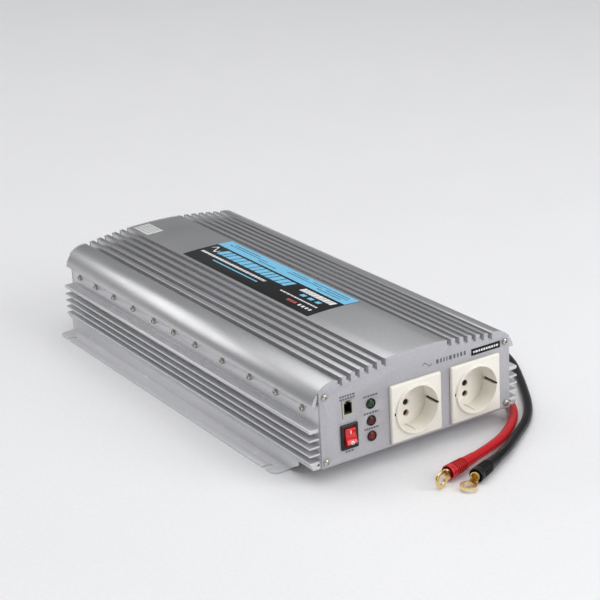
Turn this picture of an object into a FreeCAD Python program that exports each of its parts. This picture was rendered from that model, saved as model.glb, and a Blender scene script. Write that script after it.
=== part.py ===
import FreeCAD, Part
import math
import os

from FreeCAD import Placement, Rotation, Vector

# Power inverter: a finned aluminium case between two end panels, on two rails.
# Millimetres. X runs across, Y from the front panel to the rear, Z up from the floor.
# Pieces are modelled with Y = 0 on the front panel's face and moved to the origin when saved.

# ---- clearances ----
part_gap = 0.3            # between pieces that only lie beside each other
slip_gap = 0.05           # between a shaft and its bearing, on the radius
thread_gap = 0.02         # between a screw and its thread, on the radius

# ---- case ----
body_width = 188.3        # over the end panels' side edges
body_length = 439.4       # over the end panels' outer faces
rail_height = 14.0        # floor to the underside of the case
crown_height = 77.8       # underside of the case to the top of the crown
crown_radius = 430.0
crown_edge_inset = 17.9   # side edge of the panel to where the crown ends
panel_thickness = 2.0

# ---- top cover ----
shoulder_radius = 22.3
shoulder_inset = 16.0     # side edge to the centre of the shoulder's arc
shoulder_drop = 28.8      # top of the crown down to the centre of the shoulder's arc
lip_drop = 24.8           # top of the crown down to the underside of the lip
lip_gap = 0.8             # lip to the side wall
groove_count = 6          # on each side of the plain band
groove_pitch = 8.35
groove_width = 4.2
groove_depth = 6.2
roof_thickness = 2.2
corner_block_width = 9.0
corner_block_drop = 21.8  # top of the crown down to the underside of the corner blocks

# ---- side heat sinks ----
wall_thickness = 3.0
fin_reach = 9.7
fin_thickness = 1.6
fin_count = 4
fin_pitch = 6.5
lowest_fin_top = 6.9
ledge_top = 35.0
ledge_thickness = 3.5
ledge_line_count = 4
ledge_line_pitch = 1.7
ledge_line_depth = 0.4
foot_slant_height = 5.4
foot_slant_inset = 2.9
foot_depth = 7.5          # into the case, from the wall's outer face
foot_height = 8.6
flange_reach = 16.0       # shelf that holds the base plate, from the wall's outer face
flange_thickness = 2.4
base_thickness = 2.0

# ---- mounting rails ----
rail_thickness = 1.6
rail_web_offset = 6.0     # web's outer face beyond the case's side edge
rail_reach = 21.0         # foot's outer edge beyond the case's side edge
rail_front = 27.0         # front face of the case to the rail's front end
rail_foot_front = 40.0
rail_rear = 4.0           # rail's rear end to the rear face of the case
rail_corner_radius = 6.0
slot_width = 5.0
slot_depth = 8.5
slot_front = 55.0
slot_rear = 24.0          # rear slot to the rear face of the case
rail_screw_count = 4
rail_screw_inset = 12.0
rail_screw_end = 45.0

# ---- screws ----
screw_head_radius = 2.75
screw_head_height = 2.0
screw_radius = 1.5
screw_hole_radius = 1.7
recess_length = 3.0
recess_width = 0.7
recess_depth = 1.1
panel_screw_top = (4.8, crown_height - 17.5)      # inset from the side edge, height above the underside
panel_screw_bottom = (4.0, 5.0)
panel_screw_length = 14.0
side_port = (-2.0, 3.6)
side_port_radius = 1.1
side_screw_height = 44.5
side_screw_shares = (0.057, 0.146, 0.239, 0.339, 0.444, 0.531, 0.615, 0.706, 0.795, 0.879, 0.957)

# ---- transistors along the side walls ----
pad_thickness = 0.5
pad_height = 18.0
transistor_size = (4.5, 10.0, 16.0)
transistor_leg_radius = 0.5
transistor_leg_pitch = 2.5
clamp_thickness = 6.0
clamp_height = 8.0
clamp_end = 12.0

# ---- power sockets ----
socket_centres = (-3.35, 57.05)
socket_height = 27.7
socket_plate = 50.0
socket_plate_thickness = 3.0
socket_corner_radius = 1.3
socket_bevel = 0.9
socket_ring_width = 1.5
socket_ring_rise = 2.0
socket_ring_flare = 0.7   # from the ring's crest to its foot
recess_radius = 19.5
socket_depth = 17.5
cup_wall = 3.1
cup_floor = 3.0
pin_offset = 9.5
pin_hole_radius = 2.75
earth_slot_width = 2.8
earth_slot_depth = 2.4
earth_strip_thickness = 0.8
guide_rib_width = 1.8
guide_rib_height = 1.2
guide_rib_start = 3.5     # behind the ring's crest
terminal_block = (22.0, 15.0, 34.0)
sleeve_wall = 0.8
centre_screw_radius = 1.4
centre_screw_head_radius = 2.3

# ---- rocker switch ----
rocker_x = -67.85
rocker_height = 21.4
bezel_width = 16.0
bezel_height = 21.2
bezel_rise = 2.0
switch_body_width = 12.8
switch_body_height = 18.8
switch_body_depth = 15.0
rocker_width = 9.8
rocker_radius = 7.8
rocker_pivot_depth = 0.6
rocker_edge_angle = 40.0
rocker_tilt = 12.0
rocker_dish = 3.9
pivot_pin_radius = 0.8
pivot_pin_length = 0.9
blade_width = 4.8
blade_thickness = 0.8
blade_length = 9.0

# ---- remote jack ----
jack_x = -67.95
jack_height = 45.0
jack_nose_width = 10.4
jack_nose_height = 13.8
jack_nose_rise = 0.6
jack_body = (14.6, 14.0, 17.0)
jack_bore_width = 7.6
jack_bore_height = 9.6
jack_bore_depth = 12.0
jack_notch_width = 3.4
jack_notch_height = 1.6
jack_contact_count = 4
jack_contact_pitch = 1.3
jack_contact_radius = 0.25

# ---- indicator lamps ----
lamp_x = -46.15
lamp_heights = (43.0, 28.4, 15.0)
lamp_names = ("upper", "middle", "lower")
lamp_radius = 3.4
lamp_rise = 1.3
lamp_bezel_radius = 4.3
lamp_bezel_rise = 0.9
lamp_depth = 8.0
lamp_board_thickness = 1.6

# ---- labels ----
label_thickness = 0.2
top_label_width = 54.0
top_label_front = 117.5
top_label_rear_gap = 108.4  # label to the rear panel's face
tag_x = (-26.2, -8.6)
tag_length = 30.0
tag_rear_gap = 6.4        # tag to the rear face of the case
strip_x = (54.5, 84.5)
strip_z = (56.5, 62.3)

# ---- fan ----
fan_x = -40.0
fan_height = 33.0
fan_size = 60.0
fan_depth = 20.0
fan_rim = 1.5             # bore to the housing's side
fan_hole_inset = 5.0      # screw hole to the housing's side
fan_hub_radius = 13.0
fan_blade_count = 7
fan_blade_thickness = 1.2
fan_blade_pitch = 38.0
fan_tip_gap = 0.8
fan_shaft_radius = 1.5
fan_cup_radius = 11.5
fan_cup_depth = 5.0
fan_strut_width = 3.0
guard_wire_radius = 0.9
guard_ring_count = 3
guard_inner_radius = 10.0
guard_outer_inset = 2.5   # outer ring inside the fan's bore

# ---- cable exits ----
gland_x = {"red": 46.0, "black": 19.0}
gland_height = 24.0
gland_length = 16.0
gland_hex_length = 6.0
gland_dome_wall = 3.4     # around the cable
gland_thread_wall = 2.0   # around the cable
gland_hex_wall = 4.5      # around the cable, across the flats
gland_inner_length = 8.0
gland_nut_length = 4.0
cable_radius = 4.0

# ---- cable routes: x, y from the front face, height above the floor ----
cable_routes = {
    "red": (
        (46, 455.4, 38), (46, 492, 38), (72, 519, 30), (112, 521, 20), (140, 494, 11),
        (144, 438, 4.6), (137, 354, 4.3), (143, 270, 4.3), (133, 182, 4.3), (131, 100, 4.3),
        (123, 44, 4.3), (104.5, 5, 4.3), (74, -22.5, 5.6), (44, -39.7, 7.6), (13.2, -48, 7.6),
    ),
    "black": (
        (19, 455.4, 38), (19, 506, 38), (45, 550, 30), (98, 568, 21), (149, 548, 12),
        (178, 501, 5), (175, 420, 4.3), (186, 335, 4.3), (177, 250, 4.3), (184, 170, 4.3),
        (180.5, 106, 4.3), (147, 47, 4.3), (112, -6, 4.3), (71, -35, 5.2), (45.4, -52.6, 6.6),
        (27, -60.5, 6.6),
    ),
}

# ---- cable ends ----
boot_length = 28.0
boot_wall = 1.1
boot_flare = 1.1          # from the boot's start to its mouth
boot_rib_count = 7
boot_rib_depth = 0.6
ring_hole_radius = 4.2
ring_band = 2.7           # around the eye
ring_thickness = 1.6
ring_distance = 40.0
crimp_wall = 1.0
crimp_end = 30.0
neck_width = 6.6

# ---- earth stud ----
earth_x = 74.0
earth_height = 38.0       # above the leads, so that a ring terminal can reach the stud
earth_radius = 2.0
earth_length = 14.0
earth_inner_length = 8.0  # inside the rear panel
earth_end_radius = 1.8    # plain end beyond the nut
earth_nut_size = 7.0
earth_nut_thickness = 3.2
earth_washer_radius = 4.6
earth_washer_thickness = 1.0

# ---- inside ----
board_side_gap = 2.0
board_front = 38.0
board_rear_gap = 29.4     # board's rear end to the rear face of the case
board_thickness = 1.6
standoff_height = 8.0
standoff_radius = 3.0
standoff_rows = 4
standoff_inset = 20.0     # from the board's side
standoff_end = 8.0        # from the board's ends
transformer_size = (44.0, 40.0, 38.0)
transformer_count = 3
transformer_pitch = 84.0
transformer_first = 110.0
transformer_x = -30.0
winding_overhang = 4.0
input_capacitor_radius = 9.0
input_capacitor_height = 32.0
input_capacitor_count = 6
input_capacitor_pitch = 24.0
input_capacitor_x = 20.0
fuse_count = 4
fuse_pitch = 14.0
fuse_size = (5.0, 19.0, 18.0)
bus_bar_width = 10.0
bus_bar_thickness = 2.0
bus_bar_inset = 11.5      # bar's centre from the board's side
bus_bar_end = 40.0

# ---- worked out from the sizes above ----
body_half = body_width / 2
case_front = panel_thickness
case_rear = body_length - panel_thickness
rocker_reach = rocker_radius * math.sin(math.radians(rocker_edge_angle + rocker_tilt)) - rocker_pivot_depth
rear_reach = body_length + gland_length
origin_y = (rear_reach - rocker_reach) / 2
fan_bore_radius = fan_size / 2 - fan_rim
fan_hole_offset = fan_size / 2 - fan_hole_inset
crown_centre = crown_height - crown_radius
shoulder_centre_height = crown_height - shoulder_drop
lip_height = crown_height - lip_drop
corner_block_height = crown_height - corner_block_drop
board_top = rail_height + base_thickness + standoff_height + board_thickness
board_half_width = body_half - wall_thickness - board_side_gap
board_rear = body_length - board_rear_gap
side_screw_stations = [share * body_length for share in side_screw_shares]

gland_dome_radius = cable_radius + gland_dome_wall
gland_thread_radius = cable_radius + gland_thread_wall
gland_hex = 2 * (cable_radius + gland_hex_wall)
crimp_radius = cable_radius - slip_gap
boot_radius = cable_radius + boot_wall
boot_mouth_radius = boot_radius + boot_flare
ring_radius = ring_hole_radius + ring_band

along_x = Vector(1, 0, 0)
along_y = Vector(0, 1, 0)
along_z = Vector(0, 0, 1)


# ---------------------------------------------------------------- helpers
def block(x_low, x_high, y_low, y_high, z_low, z_high):
    """A box between two corners."""
    return Part.makeBox(x_high - x_low, y_high - y_low, z_high - z_low, Vector(x_low, y_low, z_low))


def rod(centre, direction, radius, length):
    """A cylinder that starts at centre and runs along direction."""
    return Part.makeCylinder(radius, length, Vector(*centre), direction)


def in_plane(plane, point):
    """A point of a flat outline, in the XZ, YZ or XY plane."""
    first, second = point
    if plane == "XZ":
        return Vector(first, 0, second)
    if plane == "YZ":
        return Vector(0, first, second)
    return Vector(first, second, 0)


def prism(plane, low, high, *steps):
    """A closed outline pushed out from low to high; a (middle, end) pair is an arc."""
    push = {"XZ": along_y, "YZ": along_x, "XY": along_z}[plane]
    start = steps[0]
    here = start
    edges = []
    for step in steps[1:] + (start,):
        is_arc = isinstance(step[0], tuple)
        end = step[1] if is_arc else step
        if is_arc:
            middle = in_plane(plane, step[0])
            edges.append(Part.Arc(in_plane(plane, here), middle, in_plane(plane, end)).toShape())
        elif math.dist(here, end) > 0:
            edges.append(Part.LineSegment(in_plane(plane, here), in_plane(plane, end)).toShape())
        here = end
    face = Part.Face(Part.Wire(edges))
    face.translate(push * low)
    return face.extrude(push * (high - low))


def joined(shapes):
    """One solid from overlapping shapes."""
    return shapes[0].multiFuse(shapes[1:]).removeSplitter() if len(shapes) > 1 else shapes[0]


def mirrored(shape):
    """The same shape on the other side of the case."""
    return shape.mirror(Vector(0, 0, 0), along_x)


def on_both_sides(shape):
    """The shape and its mirror image."""
    return [shape, mirrored(shape)]


def hexagon(centre, direction, across_flats, length):
    """A hexagonal prism that starts at centre and runs along direction."""
    corner = across_flats / math.sqrt(3)
    points = [Vector(corner * math.cos(i * math.pi / 3), corner * math.sin(i * math.pi / 3), 0) for i in range(7)]
    shape = Part.Face(Part.makePolygon(points)).extrude(Vector(0, 0, length))
    shape.Placement = Placement(Vector(*centre), Rotation(along_z, direction))
    return shape


def screw(centre, inward, length, radius=screw_radius, head_radius=screw_head_radius):
    """A pan-head screw with a cross recess; centre is under the head, inward is the way it goes in."""
    head = Part.makeCylinder(head_radius, screw_head_height, Vector(0, 0, -screw_head_height))
    rim = [edge for edge in head.Edges if edge.BoundBox.ZMax < -screw_head_height / 2]
    head = head.makeFillet(screw_head_height * 0.55, rim)
    shank = Part.makeCylinder(radius, length)
    half = recess_length / 2
    thin = recess_width / 2
    bottom = -screw_head_height
    cuts = [
        block(-half, half, -thin, thin, bottom, bottom + recess_depth),
        block(-thin, thin, -half, half, bottom, bottom + recess_depth),
    ]
    shape = head.fuse(shank).cut(joined(cuts)).removeSplitter()
    shape.Placement = Placement(Vector(*centre), Rotation(along_z, inward))
    return shape


def save(name, shape):
    """Moves a piece to the origin and writes it; a list is a group of separate solids."""
    if isinstance(shape, list):
        shape = Part.makeCompound(shape)
    shape.translate(Vector(0, -origin_y, 0))
    shape.exportStep("parts/" + name + ".step")
    print(name, len(shape.Solids), "valid" if shape.isValid() else "NOT VALID", round(shape.Volume))


# ---------------------------------------------------------------- case
def crown_at(x):
    """Height of the crown's outer surface above the floor."""
    return rail_height + crown_centre + math.sqrt(crown_radius ** 2 - x ** 2)


def shoulder_at(x):
    """Height of the shoulder's arc above the floor, at a distance x from the middle."""
    across = x - (body_half - shoulder_inset)
    return rail_height + shoulder_centre_height + math.sqrt(shoulder_radius ** 2 - across ** 2)


def grooves(y_low, y_high):
    """The straight grooves between the crown's fins, as one cutter."""
    cutters = []
    first = body_half - crown_edge_inset
    for index in range(groove_count):
        outer = first - index * groove_pitch
        inner = outer - groove_width
        floor = crown_at((outer + inner) / 2) - groove_depth
        cutters += on_both_sides(block(inner, outer, y_low, y_high, floor, crown_at(0) + groove_depth))
    return Part.makeCompound(cutters)


def crown_outline(side_x, side_z):
    """Outline steps from one side point over the shoulders and the crown to the other side."""
    edge = body_half - crown_edge_inset
    middle_x = (side_x + edge) / 2
    return (
        (-side_x, side_z),
        ((-middle_x, shoulder_at(middle_x)), (-edge, crown_at(edge))),
        ((0, crown_at(0)), (edge, crown_at(edge))),
        ((middle_x, shoulder_at(middle_x)), (side_x, side_z)),
    )


def top_cover():
    """Arched and grooved roof, with a thick lip that overhangs each side wall."""
    lip_z = rail_height + lip_height
    drop = lip_height - shoulder_centre_height
    lip_x = body_half - shoulder_inset + math.sqrt(shoulder_radius ** 2 - drop ** 2)
    cover = prism("XZ", case_front, case_rear, *crown_outline(lip_x, lip_z))
    inner_x = body_half - corner_block_width
    block_z = rail_height + corner_block_height
    roof = groove_depth + roof_thickness
    cavity = prism(
        "XZ", 0, body_length,
        (-inner_x, 0), (-inner_x, crown_at(inner_x) - roof),
        ((0, crown_at(0) - roof), (inner_x, crown_at(inner_x) - roof)), (inner_x, 0),
    )
    band = body_half - crown_edge_inset - groove_count * groove_pitch
    band_roof = crown_at(band) - roof_thickness
    pocket_x = body_half + lip_gap
    cover = cover.cut([
        cavity,
        block(-band, band, 0, body_length, block_z, band_roof),
        block(-pocket_x, pocket_x, 0, body_length, 0, block_z),
        grooves(0, body_length),
    ])
    port_x = body_half - panel_screw_top[0]
    port_z = rail_height + panel_screw_top[1]
    ports = []
    for y in (case_front, case_rear - panel_screw_length):
        port = rod((port_x, y, port_z), along_y, screw_radius + thread_gap, panel_screw_length)
        ports += on_both_sides(port)
    return cover.cut(ports).removeSplitter()


def ledge_lines(y_low, y_high):
    """Fine lines along the top of the ledge."""
    top = rail_height + ledge_top
    half = ledge_line_pitch / 4
    first = body_half + ledge_line_pitch
    lines = []
    for index in range(ledge_line_count):
        x = first + index * ledge_line_pitch
        lines.append(block(x - half, x + half, y_low, y_high, top - ledge_line_depth, top + 1))
    return lines


def side_heatsink():
    """Right-hand side wall with its ledge, cooling fins, foot and base plate shelf."""
    base = rail_height
    inner = body_half - wall_thickness
    tip = body_half + fin_reach
    wall_top = base + corner_block_height - part_gap
    pieces = [block(inner, body_half, case_front, case_rear, base, wall_top)]
    for index in range(fin_count):
        top = base + lowest_fin_top + index * fin_pitch
        pieces.append(block(inner, tip, case_front, case_rear, top - fin_thickness, top))
    ledge_low = base + ledge_top - ledge_thickness
    round_x = tip - ledge_thickness / 2
    pieces.append(prism(
        "XZ", case_front, case_rear,
        (inner, ledge_low), (round_x, ledge_low),
        ((tip, ledge_low + ledge_thickness / 2), (round_x, base + ledge_top)), (inner, base + ledge_top),
    ))
    foot_x = body_half - foot_depth
    pieces.append(prism(
        "XZ", case_front, case_rear,
        (foot_x, base), (tip - foot_slant_inset, base), (tip, base + foot_slant_height),
        (tip, base + lowest_fin_top), (inner, base + lowest_fin_top), (inner, base + foot_height),
        (foot_x, base + foot_height),
    ))
    shelf_x = body_half - flange_reach
    shelf_z = base + base_thickness + part_gap
    pieces.append(block(shelf_x, foot_x + 1, case_front, case_rear, shelf_z, shelf_z + flange_thickness))
    side = joined(pieces)
    cutters = ledge_lines(0, body_length)
    port_x = body_half - panel_screw_bottom[0]
    port_z = base + panel_screw_bottom[1]
    for y in (case_front, case_rear - panel_screw_length):
        cutters.append(rod((port_x, y, port_z), along_y, screw_radius + thread_gap, panel_screw_length))
    cutters.append(rod((body_half - side_port[0], 0, base + side_port[1]), along_y, side_port_radius, body_length))
    for y in side_screw_stations:
        cutters.append(rod((inner - 1, y, base + side_screw_height), along_x, screw_hole_radius, wall_thickness + 2))
    for y in rail_screw_stations():
        hole = (body_half - rail_screw_inset, y, shelf_z - 1)
        cutters.append(rod(hole, along_z, screw_radius + thread_gap, flange_thickness + 2))
    return side.cut(cutters).removeSplitter()


def base_plate():
    """Flat floor of the case, under the shelves of both side walls."""
    half = body_half - foot_depth - part_gap
    plate = block(-half, half, case_front, case_rear, rail_height, rail_height + base_thickness)
    cutters = []
    for y in rail_screw_stations():
        hole = (body_half - rail_screw_inset, y, rail_height - 1)
        cutters += on_both_sides(rod(hole, along_z, screw_hole_radius, base_thickness + 2))
    for x, y in standoff_places():
        cutters.append(rod((x, y, rail_height - 1), along_z, screw_radius + thread_gap, base_thickness + 2))
    return plate.cut(cutters)


def panel_blank(y_low, y_high):
    """An end panel's plate, cut to the outline of the crown and its grooves."""
    side_z = shoulder_at(body_half)
    outline = crown_outline(body_half, side_z)
    plate = prism("XZ", y_low, y_high, *outline, (body_half, rail_height), (-body_half, rail_height))
    return plate.cut(grooves(y_low - 1, y_high + 1))


def panel_screw_places():
    """The four corners where a panel is screwed on."""
    places = []
    for inset, height in (panel_screw_top, panel_screw_bottom):
        places += [(body_half - inset, rail_height + height), (inset - body_half, rail_height + height)]
    return places


def panel_screw_holes(y_low, y_high):
    """Clearance holes for a panel's four screws."""
    return [rod((x, y_low - 1, z), along_y, screw_hole_radius, y_high - y_low + 2) for x, z in panel_screw_places()]


def front_panel():
    """Front plate with its openings for the sockets, switch, jack and lamps."""
    depth = panel_thickness + 2
    panel = panel_blank(0, panel_thickness)
    cutters = panel_screw_holes(0, panel_thickness)
    for x in socket_centres:
        centre = (x, -1, rail_height + socket_height)
        cutters.append(rod(centre, along_y, recess_radius + cup_wall + part_gap, depth))
    switch_x = switch_body_width / 2 + part_gap
    switch_z = switch_body_height / 2 + part_gap
    z = rail_height + rocker_height
    cutters.append(block(rocker_x - switch_x, rocker_x + switch_x, -1, depth, z - switch_z, z + switch_z))
    nose_x = jack_nose_width / 2 + part_gap
    nose_z = jack_nose_height / 2 + part_gap
    z = rail_height + jack_height
    cutters.append(block(jack_x - nose_x, jack_x + nose_x, -1, depth, z - nose_z, z + nose_z))
    for height in lamp_heights:
        cutters.append(rod((lamp_x, -1, rail_height + height), along_y, lamp_radius + 3 * part_gap, depth))
    return panel.cut(cutters)


def fan_hole_places():
    """The four corners where the fan is screwed on."""
    z = rail_height + fan_height
    signs = (-1, 1)
    return [(fan_x + sx * fan_hole_offset, z + sz * fan_hole_offset) for sx in signs for sz in signs]


def rear_panel():
    """Rear plate with its openings for the fan, the cables and the earth stud."""
    y = case_rear - 1
    depth = panel_thickness + 2
    panel = panel_blank(case_rear, body_length)
    cutters = panel_screw_holes(case_rear, body_length)
    cutters.append(rod((fan_x, y, rail_height + fan_height), along_y, fan_bore_radius, depth))
    for x, z in fan_hole_places():
        cutters.append(rod((x, y, z), along_y, screw_hole_radius, depth))
    for x in gland_x.values():
        cutters.append(rod((x, y, rail_height + gland_height), along_y, gland_thread_radius + slip_gap, depth))
    cutters.append(rod((earth_x, y, rail_height + earth_height), along_y, earth_radius + slip_gap, depth))
    return panel.cut(cutters)


# ---------------------------------------------------------------- rails
def rail_screw_stations():
    """Where each rail's screws sit along the case."""
    first = rail_screw_end
    step = (body_length - 2 * rail_screw_end) / (rail_screw_count - 1)
    return [first + index * step for index in range(rail_screw_count)]


def mounting_rail():
    """Right-hand rail: a Z-shaped strip with two open slots in its foot."""
    web = body_half + rail_web_offset
    outer = body_half + rail_reach
    inner = body_half - flange_reach
    rear = body_length - rail_rear
    thick = rail_thickness
    top = block(inner, web, rail_front, rear, rail_height - thick, rail_height)
    side = prism(
        "YZ", web - thick, web,
        (rail_front, rail_height), (rail_front, rail_height * 0.62), (rail_foot_front, thick),
        (rail_foot_front, 0), (rear, 0), (rear, rail_height),
    )
    radius = rail_corner_radius
    nick = radius * (1 - math.sqrt(0.5))
    foot = prism(
        "XY", 0, thick,
        (web - thick, rail_foot_front), (outer - radius, rail_foot_front),
        ((outer - nick, rail_foot_front + nick), (outer, rail_foot_front + radius)), (outer, rear - radius),
        ((outer - nick, rear - nick), (outer - radius, rear)), (web - thick, rear),
    )
    rail = joined([top, side, foot])
    cutters = []
    for y in (slot_front, body_length - slot_rear):
        half = slot_width / 2
        bottom = outer - slot_depth + half
        cutters.append(block(bottom, outer + 1, y - half, y + half, -1, thick + 1))
        cutters.append(rod((bottom, y, -1), along_z, half, thick + 2))
    for y in rail_screw_stations():
        hole = (body_half - rail_screw_inset, y, 0)
        cutters.append(rod(hole, along_z, screw_hole_radius, rail_height + 1))
    return rail.cut(cutters)


def rail_screws():
    """Screws from below through the rails and the base plate into the shelves."""
    length = rail_thickness + base_thickness + part_gap + flange_thickness
    screws = []
    for y in rail_screw_stations():
        under_head = (body_half - rail_screw_inset, y, rail_height - rail_thickness)
        screws += on_both_sides(screw(under_head, along_z, length))
    return screws


def panel_screws(front):
    """Four screws that hold an end panel."""
    y = 0 if front else body_length
    inward = along_y if front else along_y * -1
    return [screw((x, y, z), inward, panel_screw_length - 1) for x, z in panel_screw_places()]


# ---------------------------------------------------------------- transistors along the walls
def wall_depths():
    """Distances from the middle to the pad, the transistors and the clamp bar."""
    pad = body_half - wall_thickness
    transistor = pad - pad_thickness
    clamp = transistor - transistor_size[0]
    return pad, transistor, clamp


def side_screws():
    """Screws through the right-hand wall into the clamp bar."""
    z = rail_height + side_screw_height
    length = body_half - wall_depths()[2] + clamp_thickness - 1
    return [screw((body_half, y, z), along_x * -1, length) for y in side_screw_stations]


def clamp_bar():
    """Right-hand bar that presses the transistors against the wall."""
    high = wall_depths()[2]
    low = high - clamp_thickness
    z = rail_height + side_screw_height
    half = clamp_height / 2
    bar = block(low, high, case_front + clamp_end, case_rear - clamp_end, z - half, z + half)
    holes = [
        rod((low - 1, y, z), along_x, screw_radius + thread_gap, clamp_thickness + 2) for y in side_screw_stations
    ]
    return bar.cut(holes)


def insulating_pad():
    """Thin pad between the transistors and the right-hand wall."""
    high = wall_depths()[0]
    z = rail_height + side_screw_height
    half = pad_height / 2
    pad = block(high - pad_thickness, high, case_front + clamp_end, case_rear - clamp_end, z - half, z + half)
    holes = [rod((high - 2, y, z), along_x, screw_hole_radius, 4) for y in side_screw_stations]
    return pad.cut(holes)


def transistors():
    """One transistor between each two neighbouring screws of the right-hand wall."""
    high = wall_depths()[1]
    depth, width, height = transistor_size
    z = rail_height + side_screw_height
    group = []
    for before, after in zip(side_screw_stations, side_screw_stations[1:]):
        y = (before + after) / 2
        case = block(high - depth, high, y - width / 2, y + width / 2, z - height / 2, z + height / 2)
        legs = []
        for offset in (-transistor_leg_pitch, 0, transistor_leg_pitch):
            foot = (high - depth / 2, y + offset, board_top)
            legs.append(rod(foot, along_z, transistor_leg_radius, z - board_top))
        group.append(joined([case] + legs))
    return group


# ---------------------------------------------------------------- power sockets
def socket_body(x):
    """Square plate with a round cup for the plug."""
    z = rail_height + socket_height
    half = socket_plate / 2
    plate = block(x - half, x + half, -socket_plate_thickness, 0, z - half, z + half)
    corners = [edge for edge in plate.Edges if abs(edge.BoundBox.YLength - socket_plate_thickness) < 1e-3]
    plate = plate.makeFillet(socket_corner_radius, corners)
    rim = [edge for edge in plate.Edges if edge.BoundBox.YMax < -socket_plate_thickness + 1e-3]
    plate = plate.makeChamfer(socket_bevel, rim)
    face = -socket_plate_thickness - socket_ring_rise
    floor = face + socket_depth
    rim_radius = recess_radius + socket_ring_width
    ring = Part.makeCone(
        rim_radius, rim_radius + socket_ring_flare, socket_ring_rise, Vector(x, face, z), along_y)
    cup = rod((x, -1, z), along_y, recess_radius + cup_wall, floor + cup_floor + 1)
    body = joined([plate, ring, cup])
    cutters = [rod((x, face - 1, z), along_y, recess_radius, socket_depth + 1)]
    for offset in (-pin_offset, 0, pin_offset):
        cutters.append(rod((x, floor - 1, z + offset), along_y, pin_hole_radius, cup_floor + 2))
    slot_half = earth_slot_width / 2
    slot_reach = recess_radius + earth_slot_depth
    cutters.append(block(x - slot_reach, x + slot_reach, face - 1, floor, z - slot_half, z + slot_half))
    ribs = []
    for side in (-1, 1):
        low, high = sorted((z + side * (recess_radius - guide_rib_height), z + side * (recess_radius + cup_wall / 2)))
        ribs.append(block(
            x - guide_rib_width / 2, x + guide_rib_width / 2,
            face + guide_rib_start, floor + cup_floor / 2, low, high))
    return joined([body.cut(cutters), *ribs]).removeSplitter()


def socket_back():
    """Depth of the back of a socket's cup behind the panel's face."""
    return socket_depth - socket_plate_thickness - socket_ring_rise + cup_floor


def earth_clips(x):
    """The two earth springs in a socket's side slots."""
    z = rail_height + socket_height
    half = earth_slot_width / 2 - part_gap
    floor = socket_back() - cup_floor
    outer = recess_radius + earth_slot_depth - part_gap
    inner = outer - earth_strip_thickness
    strips = []
    for side in (-1, 1):
        near, far = sorted((x + side * inner, x + side * outer))
        strips.append(block(near, far, -socket_plate_thickness, floor - part_gap, z - half, z + half))
    return strips


def socket_terminal_block(x):
    """Block behind the cup that carries the contact sleeves."""
    width, depth, height = terminal_block
    z = rail_height + socket_height
    back = socket_back()
    carrier = block(x - width / 2, x + width / 2, back, back + depth, z - height / 2, z + height / 2)
    bores = [rod((x, back - 1, z), along_y, centre_screw_radius + thread_gap, depth + 2)]
    for offset in (-pin_offset, pin_offset):
        bores.append(rod((x, back - 1, z + offset), along_y, pin_hole_radius + sleeve_wall + slip_gap, depth))
    return carrier.cut(bores)


def socket_contacts(x):
    """The two contact sleeves that grip the plug's pins."""
    z = rail_height + socket_height
    back = socket_back()
    length = terminal_block[1] - 2
    sleeves = []
    for offset in (-pin_offset, pin_offset):
        outer = rod((x, back + part_gap, z + offset), along_y, pin_hole_radius + sleeve_wall, length)
        inner = rod((x, back, z + offset), along_y, pin_hole_radius, length - sleeve_wall)
        sleeves.append(outer.cut(inner))
    return sleeves


def socket_centre_screw(x):
    """Screw in the middle of the cup that holds the terminal block."""
    z = rail_height + socket_height
    back = socket_back()
    head = rod((x, back - screw_head_height, z), along_y, centre_screw_head_radius, screw_head_height)
    shank = rod((x, back - 1, z), along_y, centre_screw_radius, terminal_block[1])
    half = centre_screw_head_radius - recess_width
    slot = block(x - half, x + half, back - 3, back - 1.2, z - recess_width / 2, z + recess_width / 2)
    return head.fuse(shank).cut(slot).removeSplitter()


# ---------------------------------------------------------------- rocker switch
def rocker_housing():
    """Bezel and body of the switch, open at the front for the rocker."""
    z = rail_height + rocker_height
    bezel = block(
        rocker_x - bezel_width / 2, rocker_x + bezel_width / 2, -bezel_rise, 0,
        z - bezel_height / 2, z + bezel_height / 2)
    rim = [edge for edge in bezel.Edges if edge.BoundBox.YMax < -bezel_rise + 1e-3]
    bezel = bezel.makeFillet(bezel_rise * 0.45, rim)
    half_x = switch_body_width / 2
    half_z = switch_body_height / 2
    body = block(rocker_x - half_x, rocker_x + half_x, -1, switch_body_depth, z - half_z, z + half_z)
    well_x = rocker_width / 2 + part_gap
    well_z = rocker_radius + part_gap
    mouth = block(rocker_x - well_x, rocker_x + well_x, -bezel_rise - 1, rocker_pivot_depth, z - well_z, z + well_z)
    well = rod((rocker_x - well_x, rocker_pivot_depth, z), along_x, well_z, 2 * well_x)
    pin_half = rocker_width / 2 + pivot_pin_length + part_gap
    pivot = rod((rocker_x - pin_half, rocker_pivot_depth, z), along_x, pivot_pin_radius + slip_gap, 2 * pin_half)
    return joined([bezel, body]).cut([mouth, well, pivot]).removeSplitter()


def rocker_button():
    """The rocker, tilted so that its lower end stands out."""
    edge = math.radians(rocker_edge_angle)
    tail = math.radians(-20)
    half = rocker_width / 2

    def rim(angle, side):
        return -rocker_radius * math.sin(angle), side * rocker_radius * math.cos(angle)

    centre_angle = (edge + tail) / 2
    body = prism(
        "YZ", -half, half,
        rim(edge, 1), ((-rocker_dish, 0), rim(edge, -1)),
        (rim(centre_angle, -1), rim(tail, -1)), (rocker_radius * 0.45, -rocker_radius * 0.45),
        (rocker_radius * 0.45, rocker_radius * 0.45), rim(tail, 1), (rim(centre_angle, 1), rim(edge, 1)),
    )
    pin_half = half + pivot_pin_length
    button = body.fuse(rod((-pin_half, 0, 0), along_x, pivot_pin_radius, 2 * pin_half)).removeSplitter()
    button.Placement = Placement(
        Vector(rocker_x, rocker_pivot_depth, rail_height + rocker_height), Rotation(along_x, -rocker_tilt))
    return button


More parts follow.
